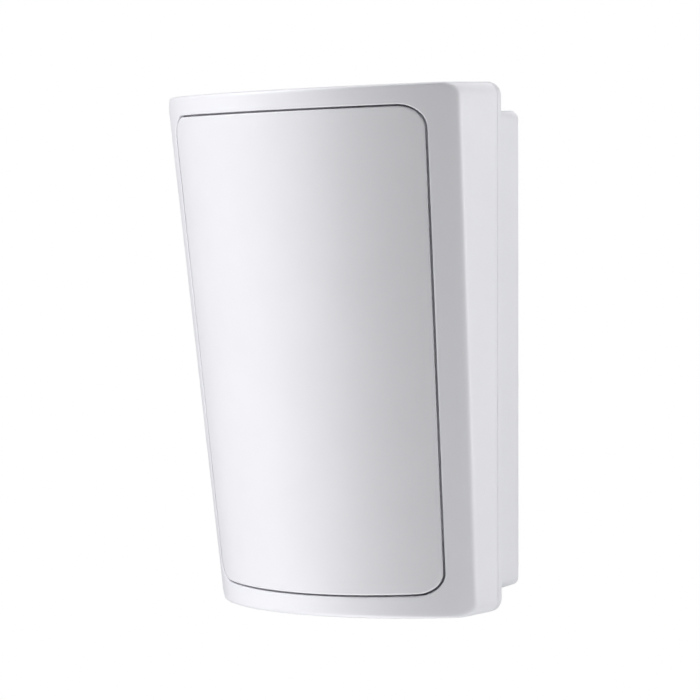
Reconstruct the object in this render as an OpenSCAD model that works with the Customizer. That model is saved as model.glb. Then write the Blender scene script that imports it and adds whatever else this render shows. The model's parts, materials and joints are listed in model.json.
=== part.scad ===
// Wall-mounted passive infrared motion sensor, in millimetres.
// +Z is up, the wall is the plane y = 0 and the front faces -Y. The origin is the middle of the wall face.
// Seen from the front the housing is a trapezoid, wider at the top. Its front is part of a leaning cone.

/* [Housing] */
// Height of the housing
body_h = 120; // [118:1:122]
// Width across the top edge
width_top = 81.4; // [80.6:0.2:82.4]
// Width across the bottom edge
width_bottom = 71.4; // [71:0.2:72.4]
// Depth from the wall to the middle of the front, at the top edge
depth_top = 42.8; // [42.4:0.1:43.4]
// Depth from the wall to the middle of the front, at the bottom edge
depth_bottom = 36; // [35.8:0.1:36.6]
// Radius of the curved front at the top edge
front_r_top = 55.8; // [55.4:0.1:57]
// Radius of the curved front at the bottom edge
front_r_bottom = 45.1; // [44.8:0.1:46]
// Radius of the housing's corners, seen from the front
corner_r = 3.2; // [3:0.1:4.5]
// Angle at which the cover's underside rises towards the front
underside_rise = 3.2; // [0:0.2:3.6]
// Thickness of the moulded walls
wall = 2; // [1.8:0.1:2.2]

/* [Base] */
// Depth of the box behind the flange
box_depth = 7.7; // [7.5:0.1:8]
// Thickness of the flange that the cover closes against
flange_t = 1.6; // [1.5:0.1:1.8]
// Height of the box's top above the middle
box_top = 53.4; // [52.6:0.2:53.4]
// Height of the box's underside below the middle
box_bottom = 55; // [54.6:0.2:55]
// Radius of the box's corners, seen from the front
box_corner_r = 2; // [1.5:0.1:2.5]
// Distance between the two wall screw holes
wall_hole_pitch = 68; // [66:1:68]
// Radius of the wall screw holes
wall_hole_r = 2.2; // [2:0.1:2.4]
// Radius of the cable hole
cable_hole_r = 5; // [4:0.5:5.5]

/* [Window] */
// Half width of the window's outline, carried on to the housing's top edge
window_half_top = 35.2; // [34.8:0.1:35.4]
// Half width of the window's outline, carried on to the housing's bottom edge
window_half_bottom = 31.1; // [30.8:0.1:31.4]
// Margin above the window
margin_top = 4.5; // [4.4:0.1:5]
// Distance from the housing's lowest edge up to the window
margin_bottom = 6.3; // [6.1:0.1:6.8]
// Radius of the window's corners
window_corner_r = 5; // [4.8:0.1:6]
// Gap between the window and the cover
window_gap = 0.55; // [0.4:0.05:0.6]
// Thickness of the window's face
window_t = 1; // [0.8:0.1:1]

/* [Circuit board] */
// Thickness of the circuit board
board_t = 1.6; // [1.5:0.1:1.6]
// Height of the board's back above the wall
board_y = 7.4; // [7.3:0.1:7.5]
// Height of the infrared sensor above the middle
sensor_z = 5; // [4:1:6]
// Number of ways in the terminal block
ways = 6; // [4:1:6]
// Number of switches in the option switch block
switches = 4; // [3:1:4]

/* [Travel] */
// Travel of the tamper plunger
tamper_travel = 1.8; // [1.2:0.1:1.8]
// Travel of an option switch slider
switch_travel = 2.2; // [2:0.1:2.2]

/* [Hidden] */
SLIDER_NAMES = [for (i = [1:switches]) str("option_slider_", i)];

$fn = 72;
cone_fn = 240;
corner_steps = 8;
white = [0.93, 0.93, 0.94];
lens_white = [0.9, 0.9, 0.92];
board_green = [0.08, 0.32, 0.17];
steel = [0.72, 0.73, 0.75];
brass = [0.8, 0.65, 0.35];
black = [0.07, 0.07, 0.08];
blue = [0.1, 0.25, 0.55];
past = 1;

// Housing
half_h = body_h / 2;
taper = (width_top - width_bottom) / 2 / body_h;
parting = box_depth + flange_t;
axis_y_top = front_r_top - depth_top;
axis_y_bottom = front_r_bottom - depth_bottom;
axis_lean = atan((axis_y_top - axis_y_bottom) / body_h);
axis_length = body_h / cos(axis_lean);
cone_slope = (front_r_top - front_r_bottom) / axis_length;
cone_reach = 80;
deepest = 60;

// Lip on the base that the cover slides over
lip_gap = 0.2;
lip_t = 1.2;
lip_h = 2;
base_wall = wall + lip_gap + lip_t;

// Hooks that hang the cover on the top of the flange, measured down and back from the hinge line
hook_x = 18;
hook_w = 8;
hook_gap = 0.3;
hook_root = 4.5;
hook_high = 1.6;
hook_low = 3.2;
hook_back = 3.4;
barb_front = 2.3;
barb_high = 0.9;
hook_slot_high = 1.4;
hook_slot_low = 5;

// Cover screw, its pocket in the underside of the cover and its lug on the base
screw_y = 14.5;
screw_r = 1.5;
screw_gap = 0.05;
screw_head_r = 2.8;
screw_head_h = 2;
screw_recess = 0.5;
pocket_half = 4;
pocket_depth = 2.6;
pocket_wall = 1.4;
notch_half = 1.75;
lug_half = 4;
lug_front = 18;
lug_low = half_h - 4.6;
lug_high = 50;

// Circuit board
board_front = board_y + board_t;
board_inset = 4;
board_top = 50;
board_bottom = 48;
board_corner_r = 2;
access_r = 4;
wall_hole_z = 4;
cable_hole_z = 20;
boss_r = 3;
boss_x = 27;
boss_z = [-39, 43];
board_screw_r = 1.25;
board_screw_hole_r = 1.3;
board_screw_head_r = 2.6;
board_screw_head_h = 1.8;
board_screw_length = 6;

// Window
flange_front = wall + 0.2;
flange_back = flange_front + 0.8;
flange_reach = 2.2;
window_edge_t = 1.2;
retainer_front = flange_back + 0.1;
retainer_back = retainer_front + 1.2;
retainer_reach = 2;
retainer_frame = 3;

// Infrared sensor
header_r = 4.65;
header_t = 0.8;
header_gap = 1;
can_r = 4.1;
can_h = 3.8;
can_t = 0.3;
filter_w = 4;
filter_h = 3;
filter_t = 0.5;
lead_r = 0.25;
lead_circle_r = 2.54;
shroud_back_r = 6.4;
shroud_front_r = 11;
shroud_h = 9;
shroud_t = 1;

// Terminal block
way_pitch = 5;
terminal_end = 0.5;
terminal_z = -43;
terminal_depth = 9;
terminal_h = 10;
terminal_screw_r = 1.7;
terminal_screw_well_r = 1.9;
terminal_well_depth = 5.5;
clamp_w = 3.4;
clamp_h = 3.4;
clamp_t = 0.5;

// Tamper switch and the arm on the cover that presses it
tamper_x = 31;
tamper_z = 30;
tamper_w = 7;
tamper_height = 6;
tamper_case_h = 6.6;
plunger_r = 1.5;
plunger_gap = 0.06;
plunger_out = 1.9;
plunger_inside = 4;
arm_t = 3;
arm_gap = 0.05;

// Other parts on the board
relay_at = [22, -20];
relay_size = [11, 20, 10.5];
chip_at = [-17, -8];
chip_size = [7.5, 12.8, 2.4];
chip_leg_pitch = 1.27;
chip_legs_a_side = 9;
cap_at = [[-22, -27, 4, 11], [-13, -26, 3.2, 8]];
option_at = [-18, 20];
option_pitch = 2.54;
option_h = 6;
option_t = 3.4;
slider_w = 1.2;
slider_l = 1.6;
slider_gap = 0.15;
slider_deep = 1.2;
slider_out = 1;
trimmer_at = [18, 20];
trimmer_w = 6.6;
trimmer_t = 3.6;
rotor_r = 1.9;
rotor_gap = 0.05;
rotor_deep = 0.9;
rotor_out = 0.4;
led_at = [-24, 36];
led_r = 1.5;
led_h = 4.6;
pipe_r = 2;
pipe_start = board_front + led_h + 1.6;
pipe_end = 31;

// Half width of the housing at height z
function half_width(z) = (width_top + width_bottom) / 4 + taper * z;

// Points along a round corner in the XY plane, about a centre, from one angle to another
function corner_arc(centre, r, start, end) = [
    for (i = [0:corner_steps])
        let (a = start + (end - start) * i / corner_steps)
            centre + r * [cos(a), sin(a)]
];

// Outline seen from the front, drawn in the XY plane: a trapezoid whose half widths are given at the housing's top
// and bottom edges, from z_low to z_high, set in by inset at its sides, with round corners
module tapered_outline(half_top, half_bottom, z_low, z_high, inset, r) {
    slope = (half_top - half_bottom) / body_h;
    lean = atan(slope);
    middle = (half_top + half_bottom) / 2;
    x_low = middle + slope * (z_low + r) - (inset + r) / cos(lean);
    x_high = middle + slope * (z_high - r) - (inset + r) / cos(lean);
    right = concat(
        corner_arc([x_low, z_low + r], r, -90, -lean),
        corner_arc([x_high, z_high - r], r, -lean, 90)
    );
    last = len(right) - 1;
    polygon(concat(right, [for (i = [last:-1:0]) [-right[i].x, right[i].y]]));
}

// Straight block of the housing's outline, from depth near to depth far in front of the wall
module housing_block(near, far, z_low, z_high, inset, r) {
    translate([0, -near, 0])
        rotate([90, 0, 0])
            linear_extrude(far - near)
                tapered_outline(width_top / 2, width_bottom / 2, z_low, z_high, inset, r);
}

// Straight block of the window's outline, grown all round
module window_block(near, grow) {
    translate([0, -near, 0])
        rotate([90, 0, 0])
            linear_extrude(deepest - near)
                tapered_outline(window_half_top, window_half_bottom, margin_bottom - half_h - grow,
                    half_h - margin_top + grow, -grow, max(window_corner_r + grow, 1));
}

// Everything behind the curved front, set in by a distance
module behind_front(inset) {
    r_middle = (front_r_top + front_r_bottom) / 2 - inset;
    translate([0, (axis_y_top + axis_y_bottom) / 2, 0])
        rotate([-axis_lean, 0, 0])
            cylinder(h = 2 * cone_reach, r1 = r_middle - cone_slope * cone_reach,
                r2 = r_middle + cone_slope * cone_reach, center = true, $fn = cone_fn);
}

// Cylinder along -Y that starts at a depth in front of the wall
module forward_cylinder(x, depth, z, r, length) {
    translate([x, -depth, z])
        rotate([90, 0, 0])
            cylinder(h = length, r = r);
}

// Box that stands on the board's front, centred on a place [x, z], with size [width, height, thickness]
module on_board(place, size, lift = 0) {
    translate([place.x - size.x / 2, -board_front - lift - size.z, place.y - size.y / 2])
        cube([size.x, size.z, size.y]);
}

module base_shell() {
    color(white)
    difference() {
        union() {
            housing_block(0, box_depth, -box_bottom, box_top, 0, box_corner_r);
            housing_block(box_depth, parting, -half_h, half_h, 0, corner_r);
            base_lip();
        }
        housing_block(wall, deepest, wall - box_bottom, box_top - wall, base_wall, box_corner_r);
        for (side = [-1, 1])
            translate([side * hook_x - hook_w / 2 - hook_gap, -deepest, half_h - hook_slot_low])
                cube([hook_w + 2 * hook_gap, deepest, hook_slot_low - hook_slot_high]);
        translate([-pocket_half - pocket_wall - hook_gap, -deepest, -half_h - past])
            cube([2 * (pocket_half + pocket_wall + hook_gap), deepest - parting, half_h - lug_high + past]);
        for (side = [-1, 1])
            forward_cylinder(0, -past, wall_hole_z + side * wall_hole_pitch / 2, wall_hole_r, wall + 2 * past);
        forward_cylinder(0, -past, cable_hole_z, cable_hole_r, wall + 2 * past);
    }
    color(white) screw_lug();
    color(white) board_bosses();
}

// Lip that stands into the cover all round
module base_lip() {
    inset = wall + lip_gap;
    difference() {
        housing_block(parting, parting + lip_h, inset - half_h, half_h - inset, inset, corner_r - inset);
        housing_block(parting, deepest, base_wall - half_h, half_h - base_wall, base_wall, past);
    }
}

// Lug above the pocket of the cover, with the hole for the cover screw
module screw_lug() {
    difference() {
        translate([-lug_half, -lug_front, -lug_low])
            cube([2 * lug_half, lug_front - wall / 2, lug_low - lug_high]);
        translate([0, -screw_y, -lug_low - past])
            cylinder(h = lug_low - lug_high + 2 * past, r = screw_r + screw_gap);
    }
}

// Four bosses that carry the board, drilled for its screws
module board_bosses() {
    for (side = [-1, 1], z = boss_z)
        difference() {
            forward_cylinder(side * boss_x, wall / 2, z, boss_r, board_y - wall / 2);
            forward_cylinder(side * boss_x, wall, z, board_screw_hole_r, board_y);
        }
}

module front_cover() {
    color(white)
    difference() {
        union() {
            cover_walls();
            screw_pocket();
            tamper_arm();
            for (side = [-1, 1])
                cover_hook(side * hook_x);
        }
        window_block(parting + past, window_gap / 2);
        pocket_cuts();
    }
}

// The cover's outer walls: the curved front and the straight sides, hollow behind
module cover_walls() {
    difference() {
        intersection() {
            housing_block(parting, deepest, -half_h, half_h, 0, corner_r);
            behind_front(0);
            above_underside(0);
        }
        intersection() {
            housing_block(parting - past, deepest, wall - half_h, half_h - wall, wall, corner_r - wall);
            behind_front(wall);
            above_underside(wall);
        }
    }
}

// Everything above the cover's underside, which rises from the parting line towards the front, set in by a distance
module above_underside(inset) {
    translate([0, -parting, inset - half_h])
        rotate([-underside_rise, 0, 0])
            translate([-deepest, -2 * deepest, 0])
                cube([2 * deepest, 4 * deepest, 2 * body_h]);
}

// Hook that reaches back through the flange and up behind its top edge
module cover_hook(x) {
    translate([x - hook_w / 2, -parting - hook_root, half_h - hook_low])
        cube([hook_w, hook_root + hook_back, hook_low - hook_high]);
    translate([x - hook_w / 2, -parting - hook_root, half_h - wall - past])
        cube([hook_w, hook_root, past + wall / 2]);
    translate([x - hook_w / 2, barb_front - parting, half_h - hook_high - past])
        cube([hook_w, hook_back - barb_front, hook_high - barb_high + past]);
}

// Arm inside the cover's right wall that holds the tamper plunger down
module tamper_arm() {
    depth = board_front + tamper_case_h + plunger_out + arm_gap;
    inner = tamper_x - plunger_r - wall / 2;
    translate([inner, -depth - arm_t, tamper_z - wall])
        cube([half_width(tamper_z) - wall / 2 - inner, arm_t, 2 * wall]);
}

// Raised pocket in the cover's underside that takes the screw's head
module screw_pocket() {
    half = pocket_half + pocket_wall;
    translate([-half, -screw_y - half, -half_h + wall / 2])
        cube([2 * half, screw_y + half - parting, pocket_depth + pocket_wall - wall / 2]);
}

module pocket_cuts() {
    open_slot(pocket_half, -half_h - past, pocket_depth + past);
    open_slot(notch_half, -half_h, pocket_depth + pocket_wall + past);
}

// Slot open to the back, with a round front end about the cover screw
module open_slot(half, z, h) {
    translate([0, -screw_y, z])
        cylinder(h = h, r = half);
    translate([-half, -screw_y, z])
        cube([2 * half, screw_y - parting + past, h]);
}

module lens_window() {
    color(lens_white)
    difference() {
        intersection() {
            union() {
                window_block(parting + past, -window_gap / 2);
                intersection() {
                    window_block(parting + past, flange_reach);
                    behind_front(flange_front);
                }
            }
            behind_front(0);
        }
        behind_front(flange_back);
        intersection() {
            window_block(parting, -window_gap / 2 - window_edge_t);
            behind_front(window_t);
        }
    }
}

module lens_retainer() {
    color(white)
    difference() {
        intersection() {
            window_block(parting + past, retainer_reach);
            behind_front(retainer_front);
        }
        behind_front(retainer_back);
        window_block(parting, -retainer_frame);
    }
}

module cover_screw() {
    head_low = screw_recess - half_h;
    color(steel)
    translate([0, -screw_y, head_low])
    difference() {
        union() {
            cylinder(h = screw_head_h, r = screw_head_r);
            cylinder(h = half_h - lug_high - screw_recess, r = screw_r);
        }
        for (turn = [0, 90])
            rotate([0, 0, turn])
                translate([-screw_r, -0.4, -past])
                    cube([2 * screw_r, 0.8, past + 1.2]);
    }
}

module circuit_board() {
    color(board_green)
    difference() {
        housing_block(board_y, board_front, -board_bottom, board_top, board_inset, board_corner_r);
        for (side = [-1, 1])
            forward_cylinder(0, wall, wall_hole_z + side * wall_hole_pitch / 2, access_r, board_front);
        for (side = [-1, 1], z = boss_z)
            forward_cylinder(side * boss_x, wall, z, board_screw_hole_r, board_front);
        for (a = [0, 120, 240])
            forward_cylinder(lead_circle_r * cos(a), wall, sensor_z + lead_circle_r * sin(a), lead_r, board_front);
    }
}

module board_screws() {
    slot_w = 0.7;
    color(steel)
    for (side = [-1, 1], z = boss_z)
        difference() {
            union() {
                forward_cylinder(side * boss_x, board_front, z, board_screw_head_r, board_screw_head_h);
                forward_cylinder(side * boss_x, board_front - board_screw_length, z, board_screw_r,
                    board_screw_length + board_screw_head_h / 2);
            }
            for (turn = [0, 90])
                translate([side * boss_x, -board_front - board_screw_head_h, z])
                    rotate([0, turn, 0])
                        cube([2.6, 2, slot_w], center = true);
        }
}

module sensor_can() {
    depth = board_front + header_gap + header_t;
    color(steel)
    difference() {
        forward_cylinder(0, depth, sensor_z, can_r, can_h);
        forward_cylinder(0, depth - past, sensor_z, can_r - can_t, can_h - can_t + past);
        translate([-filter_w / 2, -depth - can_h - past, sensor_z - filter_h / 2])
            cube([filter_w, can_h, filter_h]);
    }
}

module sensor_filter() {
    depth = board_front + header_gap + header_t + can_h - can_t;
    color(black)
    translate([-filter_w / 2 - can_t, -depth, sensor_z - filter_h / 2 - can_t])
        cube([filter_w + 2 * can_t, filter_t, filter_h + 2 * can_t]);
}

module sensor_header() {
    color(steel) {
        forward_cylinder(0, board_front + header_gap, sensor_z, header_r, header_t);
        for (a = [0, 120, 240])
            forward_cylinder(lead_circle_r * cos(a), board_y - past, sensor_z + lead_circle_r * sin(a),
                lead_r - 0.03, board_t + header_gap + 2 * past);
    }
}

// Flared hood round the sensor that keeps insects and stray light away
module sensor_shroud() {
    color(black)
    translate([0, -board_front, sensor_z])
        rotate([90, 0, 0])
            rotate_extrude()
                polygon([
                    [shroud_back_r, 0], [shroud_back_r + shroud_t, 0], [shroud_front_r, shroud_h],
                    [shroud_front_r - shroud_t, shroud_h]
                ]);
}

module terminal_body() {
    width = ways * way_pitch + 2 * terminal_end;
    color(board_green * 1.8)
    difference() {
        on_board([0, terminal_z], [width, terminal_depth, terminal_h]);
        for (i = [0:ways - 1]) {
            x = way_x(i);
            forward_cylinder(x, board_front + terminal_h - terminal_well_depth, terminal_z, terminal_screw_well_r,
                terminal_h);
            translate([x - clamp_w / 2, -board_front - clamp_t - clamp_h, terminal_z - terminal_depth])
                cube([clamp_w, clamp_h, terminal_depth + clamp_w / 2]);
        }
    }
}

// Middle of one way of the terminal block
function way_x(i) = (i - (ways - 1) / 2) * way_pitch;

module terminal_screws() {
    length = terminal_well_depth - 1;
    color(steel)
    for (i = [0:ways - 1])
        difference() {
            forward_cylinder(way_x(i), board_front + terminal_h - terminal_well_depth, terminal_z, terminal_screw_r,
                length);
            translate([way_x(i), -board_front - terminal_h + 1, terminal_z])
                cube([2 * terminal_screw_r + 1, 1.6, 0.6], center = true);
        }
}

// Brass cages that grip the wires
module terminal_clamps() {
    gap = 0.1;
    outer = clamp_w - 2 * gap;
    color(brass)
    for (i = [0:ways - 1])
        translate([way_x(i) - outer / 2, -board_front - clamp_t - clamp_h + gap, terminal_z - clamp_w])
            difference() {
                cube([outer, outer, 2 * clamp_w - wall]);
                translate([clamp_t, clamp_t, -past])
                    cube([outer - 2 * clamp_t, outer - 2 * clamp_t, 3 * clamp_w]);
            }
}

module tamper_case() {
    color(black)
    difference() {
        on_board([tamper_x, tamper_z], [tamper_w, tamper_height, tamper_case_h]);
        forward_cylinder(tamper_x, board_front + tamper_case_h - plunger_inside - 0.2, tamper_z,
            plunger_r + plunger_gap, tamper_case_h);
    }
}

module tamper_plunger() {
    color(white)
    forward_cylinder(tamper_x, board_front + tamper_case_h - plunger_inside, tamper_z, plunger_r,
        plunger_inside + plunger_out);
}

module alarm_relay() {
    color(white)
    on_board(relay_at, relay_size);
}

module controller_chip() {
    color(black)
    on_board(chip_at, chip_size, 0.1);
}

module chip_legs() {
    leg_w = 0.42;
    leg_l = 1.4;
    leg_t = 0.3;
    color(steel)
    for (side = [-1, 1], i = [0:chip_legs_a_side - 1])
        translate([0, 0, (i - (chip_legs_a_side - 1) / 2) * chip_leg_pitch]) {
            on_board(chip_at + [side * (chip_size.x + leg_l) / 2, 0], [leg_l, leg_w, leg_t]);
            on_board(chip_at + [side * (chip_size.x + leg_t) / 2, 0], [leg_t, leg_w, chip_size.z / 2]);
        }
}

module capacitors() {
    color(black)
    for (c = cap_at)
        forward_cylinder(c[0], board_front, c[1], c[2], c[3]);
}

module option_switch_body() {
    width = switches * option_pitch + 2;
    color(blue)
    difference() {
        on_board(option_at, [width, option_h, option_t]);
        for (i = [1:switches])
            translate([slider_x(i) - slider_w / 2 - slider_gap, -board_front - option_t - past,
                    option_at.y - (slider_l + switch_travel) / 2 - slider_gap])
                cube([slider_w + 2 * slider_gap, slider_deep + slider_gap + past,
                    slider_l + switch_travel + 2 * slider_gap]);
    }
}

// Middle of one switch of the option block, counted from 1
function slider_x(i) = option_at.x + (i - (switches + 1) / 2) * option_pitch;

module option_slider(i) {
    color(white)
    translate([slider_x(i) - slider_w / 2, -board_front - option_t - slider_out,
            option_at.y - (slider_l + switch_travel) / 2])
        cube([slider_w, slider_out + slider_deep, slider_l]);
}

module range_trimmer_body() {
    color(blue)
    difference() {
        on_board(trimmer_at, [trimmer_w, trimmer_w, trimmer_t]);
        forward_cylinder(trimmer_at.x, board_front + trimmer_t - rotor_deep, trimmer_at.y, rotor_r + rotor_gap,
            trimmer_t);
    }
}

module range_trimmer_rotor() {
    thickness = rotor_deep + rotor_out - rotor_gap;
    color(white)
    difference() {
        forward_cylinder(trimmer_at.x, board_front + trimmer_t - rotor_deep + rotor_gap, trimmer_at.y, rotor_r,
            thickness);
        translate([trimmer_at.x, -board_front - trimmer_t - rotor_out, trimmer_at.y])
            cube([0.6, 1.2, 2.8], center = true);
    }
}

module walk_test_led() {
    rim = 0.4;
    color([0.8, 0.1, 0.1])
    translate([led_at.x, -board_front - past, led_at.y])
        rotate([90, 0, 0]) {
            cylinder(h = past, r = led_r + rim);
            cylinder(h = led_h - led_r, r = led_r);
            translate([0, 0, led_h - led_r])
                sphere(led_r);
        }
}

module led_leads() {
    color(steel)
    for (side = [-1, 1])
        forward_cylinder(led_at.x + side * 0.8, board_front, led_at.y, lead_r, past);
}

// Clear guide that carries the walk-test light to the back of the window
module light_pipe() {
    foot = 0.8;
    color([0.85, 0.9, 0.95])
    difference() {
        union() {
            forward_cylinder(led_at.x, board_front, led_at.y, pipe_r + foot, pipe_start - board_front);
            forward_cylinder(led_at.x, pipe_start - past, led_at.y, pipe_r, pipe_end - pipe_start + past);
        }
        forward_cylinder(led_at.x, board_front - past, led_at.y, pipe_r + 0.1, led_h + 2 * past);
    }
}

// Chip resistors and capacitors, in two rows of each kind
module surface_parts() {
    part = [1.25, 2, 0.6];
    color([0.25, 0.2, 0.17])
    for (row = [0:1], i = [0:4])
        on_board([-6 + 3 * i, -14 - 4 * row], part);
    color([0.25, 0.2, 0.17])
    for (i = [0:3])
        on_board([9 + 3 * i, 33 - i % 2], part);
}

base_shell();
front_cover();
lens_window();
lens_retainer();
cover_screw();
circuit_board();
board_screws();
sensor_can();
sensor_filter();
sensor_header();
sensor_shroud();
terminal_body();
terminal_screws();
terminal_clamps();
tamper_case();
tamper_plunger();
alarm_relay();
controller_chip();
chip_legs();
capacitors();
option_switch_body();
range_trimmer_body();
range_trimmer_rotor();
walk_test_led();
led_leads();
light_pipe();
surface_parts();
option_slider(1);  // option_slider_1
option_slider(2);  // option_slider_2
option_slider(3);  // option_slider_3
option_slider(4);  // option_slider_4
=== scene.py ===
"""Wall-mounted motion sensor: a tapering curved housing with a flush lens window, a hinged cover and a
circuit board.

Every piece is built in metres in the part's own frame: +Z up, the wall at y = 0, the front towards -Y. The
housing's front is a leaning cone. Seen from the front every outline is a tapered rectangle with round
corners.
"""

import json
import math

import bmesh
import bpy
import numpy as np
from bpy.props import FloatProperty, FloatVectorProperty, IntProperty, PointerProperty
from mathutils import Matrix, Vector


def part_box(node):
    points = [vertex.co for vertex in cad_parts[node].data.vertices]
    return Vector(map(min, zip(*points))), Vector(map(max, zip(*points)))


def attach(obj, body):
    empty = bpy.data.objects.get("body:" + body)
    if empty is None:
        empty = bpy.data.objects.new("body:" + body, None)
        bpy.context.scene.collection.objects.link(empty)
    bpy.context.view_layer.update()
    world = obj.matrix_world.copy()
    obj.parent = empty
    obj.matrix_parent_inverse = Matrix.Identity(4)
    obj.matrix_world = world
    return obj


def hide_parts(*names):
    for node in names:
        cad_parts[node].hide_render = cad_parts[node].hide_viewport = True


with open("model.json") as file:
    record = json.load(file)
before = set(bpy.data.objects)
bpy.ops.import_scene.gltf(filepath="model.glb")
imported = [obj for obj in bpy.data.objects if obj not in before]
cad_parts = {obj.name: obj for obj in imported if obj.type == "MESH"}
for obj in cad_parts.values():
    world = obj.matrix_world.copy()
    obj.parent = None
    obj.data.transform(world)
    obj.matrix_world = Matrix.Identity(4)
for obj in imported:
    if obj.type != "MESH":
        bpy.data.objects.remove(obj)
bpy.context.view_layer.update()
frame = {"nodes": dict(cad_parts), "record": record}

bl_info = {
    "name": "Motion Sensor",
    "version": (1, 0, 0),
    "blender": (4, 5, 0),
    "location": "View3D > Sidebar > Sensor",
    "description": "Builds a wall-mounted motion sensor round its packed CAD frame",
    "category": "Add Mesh",
}

MM = 0.001


def node_box(node):
    """A CAD node's lowest and highest corners as arrays."""
    low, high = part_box(node)
    return np.array(low), np.array(high)


def node_middle(node):
    """The middle of a CAD node's box."""
    low, high = node_box(node)
    return (low + high) / 2


HALF_HEIGHT = node_box("base_shell")[1][2]
BOARD_FRONT = node_box("circuit_board")[0][1]
SCREW_X, SCREW_Y, _ = node_middle("cover_screw")


# ---------------------------------------------------------------- properties


def length(name, description, default):
    """A length in metres for a property group."""
    return FloatProperty(name=name, description=description, default=default, min=0.0, max=1.0,
                         unit="LENGTH", subtype="DISTANCE", precision=5)


def colour(name, description, default):
    """A colour for a property group."""
    return FloatVectorProperty(name=name, description=description, default=default, size=3,
                               min=0.0, max=1.0, subtype="COLOR")


class HousingSizes(bpy.types.PropertyGroup):
    """Sizes of the moulded housing."""

    width_top: length("Width at the top", "Width of the housing across its top edge", 81.4 * MM)
    width_bottom: length("Width at the bottom", "Width of the housing across its bottom edge", 71.4 * MM)
    depth_top: length("Depth at the top", "Wall to middle of the front at the top edge", 42.8 * MM)
    depth_bottom: length("Depth at the bottom", "Wall to middle of the front at the bottom edge", 36.0 * MM)
    front_r_top: length("Front radius at the top", "Radius of the curved front at the top edge", 55.8 * MM)
    front_r_bottom: length("Front radius at the bottom", "Radius of the curved front at the bottom",
                           45.1 * MM)
    underside_rise: FloatProperty(name="Underside rise",
                                  description="Angle at which the cover's underside rises",
                                  default=math.radians(3.2), min=0.0, max=0.2, subtype="ANGLE")
    corner_r: length("Corner radius", "Radius of the corners seen from the front", 3.2 * MM)
    wall: length("Wall", "Thickness of the moulded walls", 2.0 * MM)
    box_depth: length("Box depth", "Depth of the box behind the flange", 7.7 * MM)
    flange: length("Flange", "Thickness of the flange that the cover closes against", 1.6 * MM)
    box_top: length("Box top", "Height of the box's top above the middle", 53.4 * MM)
    box_bottom: length("Box bottom", "Height of the box's underside below the middle", 55.0 * MM)
    box_corner_r: length("Box corner radius", "Radius of the box's corners", 2.0 * MM)
    crease_side: length("Side crease", "Reach of the rounding between front and sides", 1.0 * MM)
    crease_end: length("End crease", "Reach of the rounding between front and ends", 1.3 * MM)
    parting_round: length("Parting edge", "Rounding of the edges along the parting line", 0.14 * MM)


class WindowSizes(bpy.types.PropertyGroup):
    """Sizes of the lens window."""

    half_top: length("Half width at the top", "Half width carried on to the top edge", 34.95 * MM)
    half_bottom: length("Half width at the bottom", "Half width carried on to the bottom edge", 30.85 * MM)
    margin_top: length("Top margin", "From the housing's top down to the window", 4.65 * MM)
    margin_bottom: length("Bottom margin", "From the housing's lowest edge up to the window", 6.45 * MM)
    corner_r: length("Corner radius", "Radius of the window's corners", 5.0 * MM)
    gap: length("Gap", "Gap between the window and the cover", 0.45 * MM)
    edge_round: length("Edge rounding", "Rounding of the edges on both sides of the gap", 0.4 * MM)
    thickness: length("Thickness", "Thickness of the window's face", 1.0 * MM)
    flange_reach: length("Flange reach", "Reach of the flange behind the cover's wall", 2.2 * MM)
    groove_pitch: length("Groove pitch", "Distance between two grooves of the lens", 1.9 * MM)
    groove_depth: length("Groove depth", "Depth of the grooves inside the window", 0.28 * MM)
    segments: IntProperty(name="Segments", description="Lens segments across the uppermost row",
                          default=7, min=3, max=11)


class Colours(bpy.types.PropertyGroup):
    """Colours of the finishes."""

    shell: colour("Housing", "Colour of the moulded housing", (0.794, 0.794, 0.832))
    # Painted shade: the base is the housing's own plastic in a darker tone, standing in for the shade that
    # falls on the box behind the flange.
    base: colour("Base", "Colour of the moulded base", (0.744, 0.746, 0.784))
    lens: colour("Lens", "Colour of the lens window", (0.779, 0.777, 0.81))
    board: colour("Board", "Colour of the circuit board's lacquer", (0.01, 0.1, 0.04))


def sizes():
    """The housing's sizes, the window's sizes and the colours, as set in the scene."""
    scene = bpy.context.scene
    return scene.sensor_housing, scene.sensor_window, scene.sensor_colours


# ---------------------------------------------------------------- outlines and the curved front

ARC_STEPS = 10
SIDE_ROWS = 70
FLAT_COLUMNS = 56


def edge_of(grid):
    """The edge of a grid, once round: first row, last column, last row back, first column back."""
    return np.concatenate([grid[0, :], grid[1:-1, -1], grid[-1, ::-1], grid[-2:0:-1, 0]])


class Outline:
    """A tapered rectangle with round corners seen from the front.

    half_top and half_bottom are its half widths carried on to the housing's top and bottom edges. It
    reaches from low to high and is set in by inset at its sides. The right side is a corner arc, the
    straight side and a corner arc; the left side mirrors it, and rows of points run between the two.
    """

    def __init__(self, half_top, half_bottom, low, high, inset, radius,
                 rows=SIDE_ROWS, columns=FLAT_COLUMNS):
        slope = (half_top - half_bottom) / (2 * HALF_HEIGHT)
        lean = math.atan(slope)
        middle = (half_top + half_bottom) / 2
        arcs = []
        for z, start, end in ((low + radius, -math.pi / 2, -lean), (high - radius, -lean, math.pi / 2)):
            angles = np.linspace(start, end, ARC_STEPS + 1)
            x = middle + slope * z - (inset + radius) / math.cos(lean)
            arcs.append(np.stack([x + radius * np.cos(angles), z + radius * np.sin(angles)], 1))
        share = np.linspace(0, 1, rows + 1)[1:-1, None]
        side = arcs[0][-1] * (1 - share) + arcs[1][0] * share
        self.right = np.concatenate([arcs[0], side, arcs[1]])
        self.columns = columns

    def grid(self):
        """Points [row, column, (x, z)] that fill the outline."""
        across = np.linspace(-1, 1, self.columns)
        x = self.right[:, :1] * across[None, :]
        z = np.repeat(self.right[:, 1:], self.columns, 1)
        return np.stack([x, z], 2)

    def loop(self):
        """Points [i, (x, z)] once round the edge, anticlockwise from the lower left."""
        return edge_of(self.grid())


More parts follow.
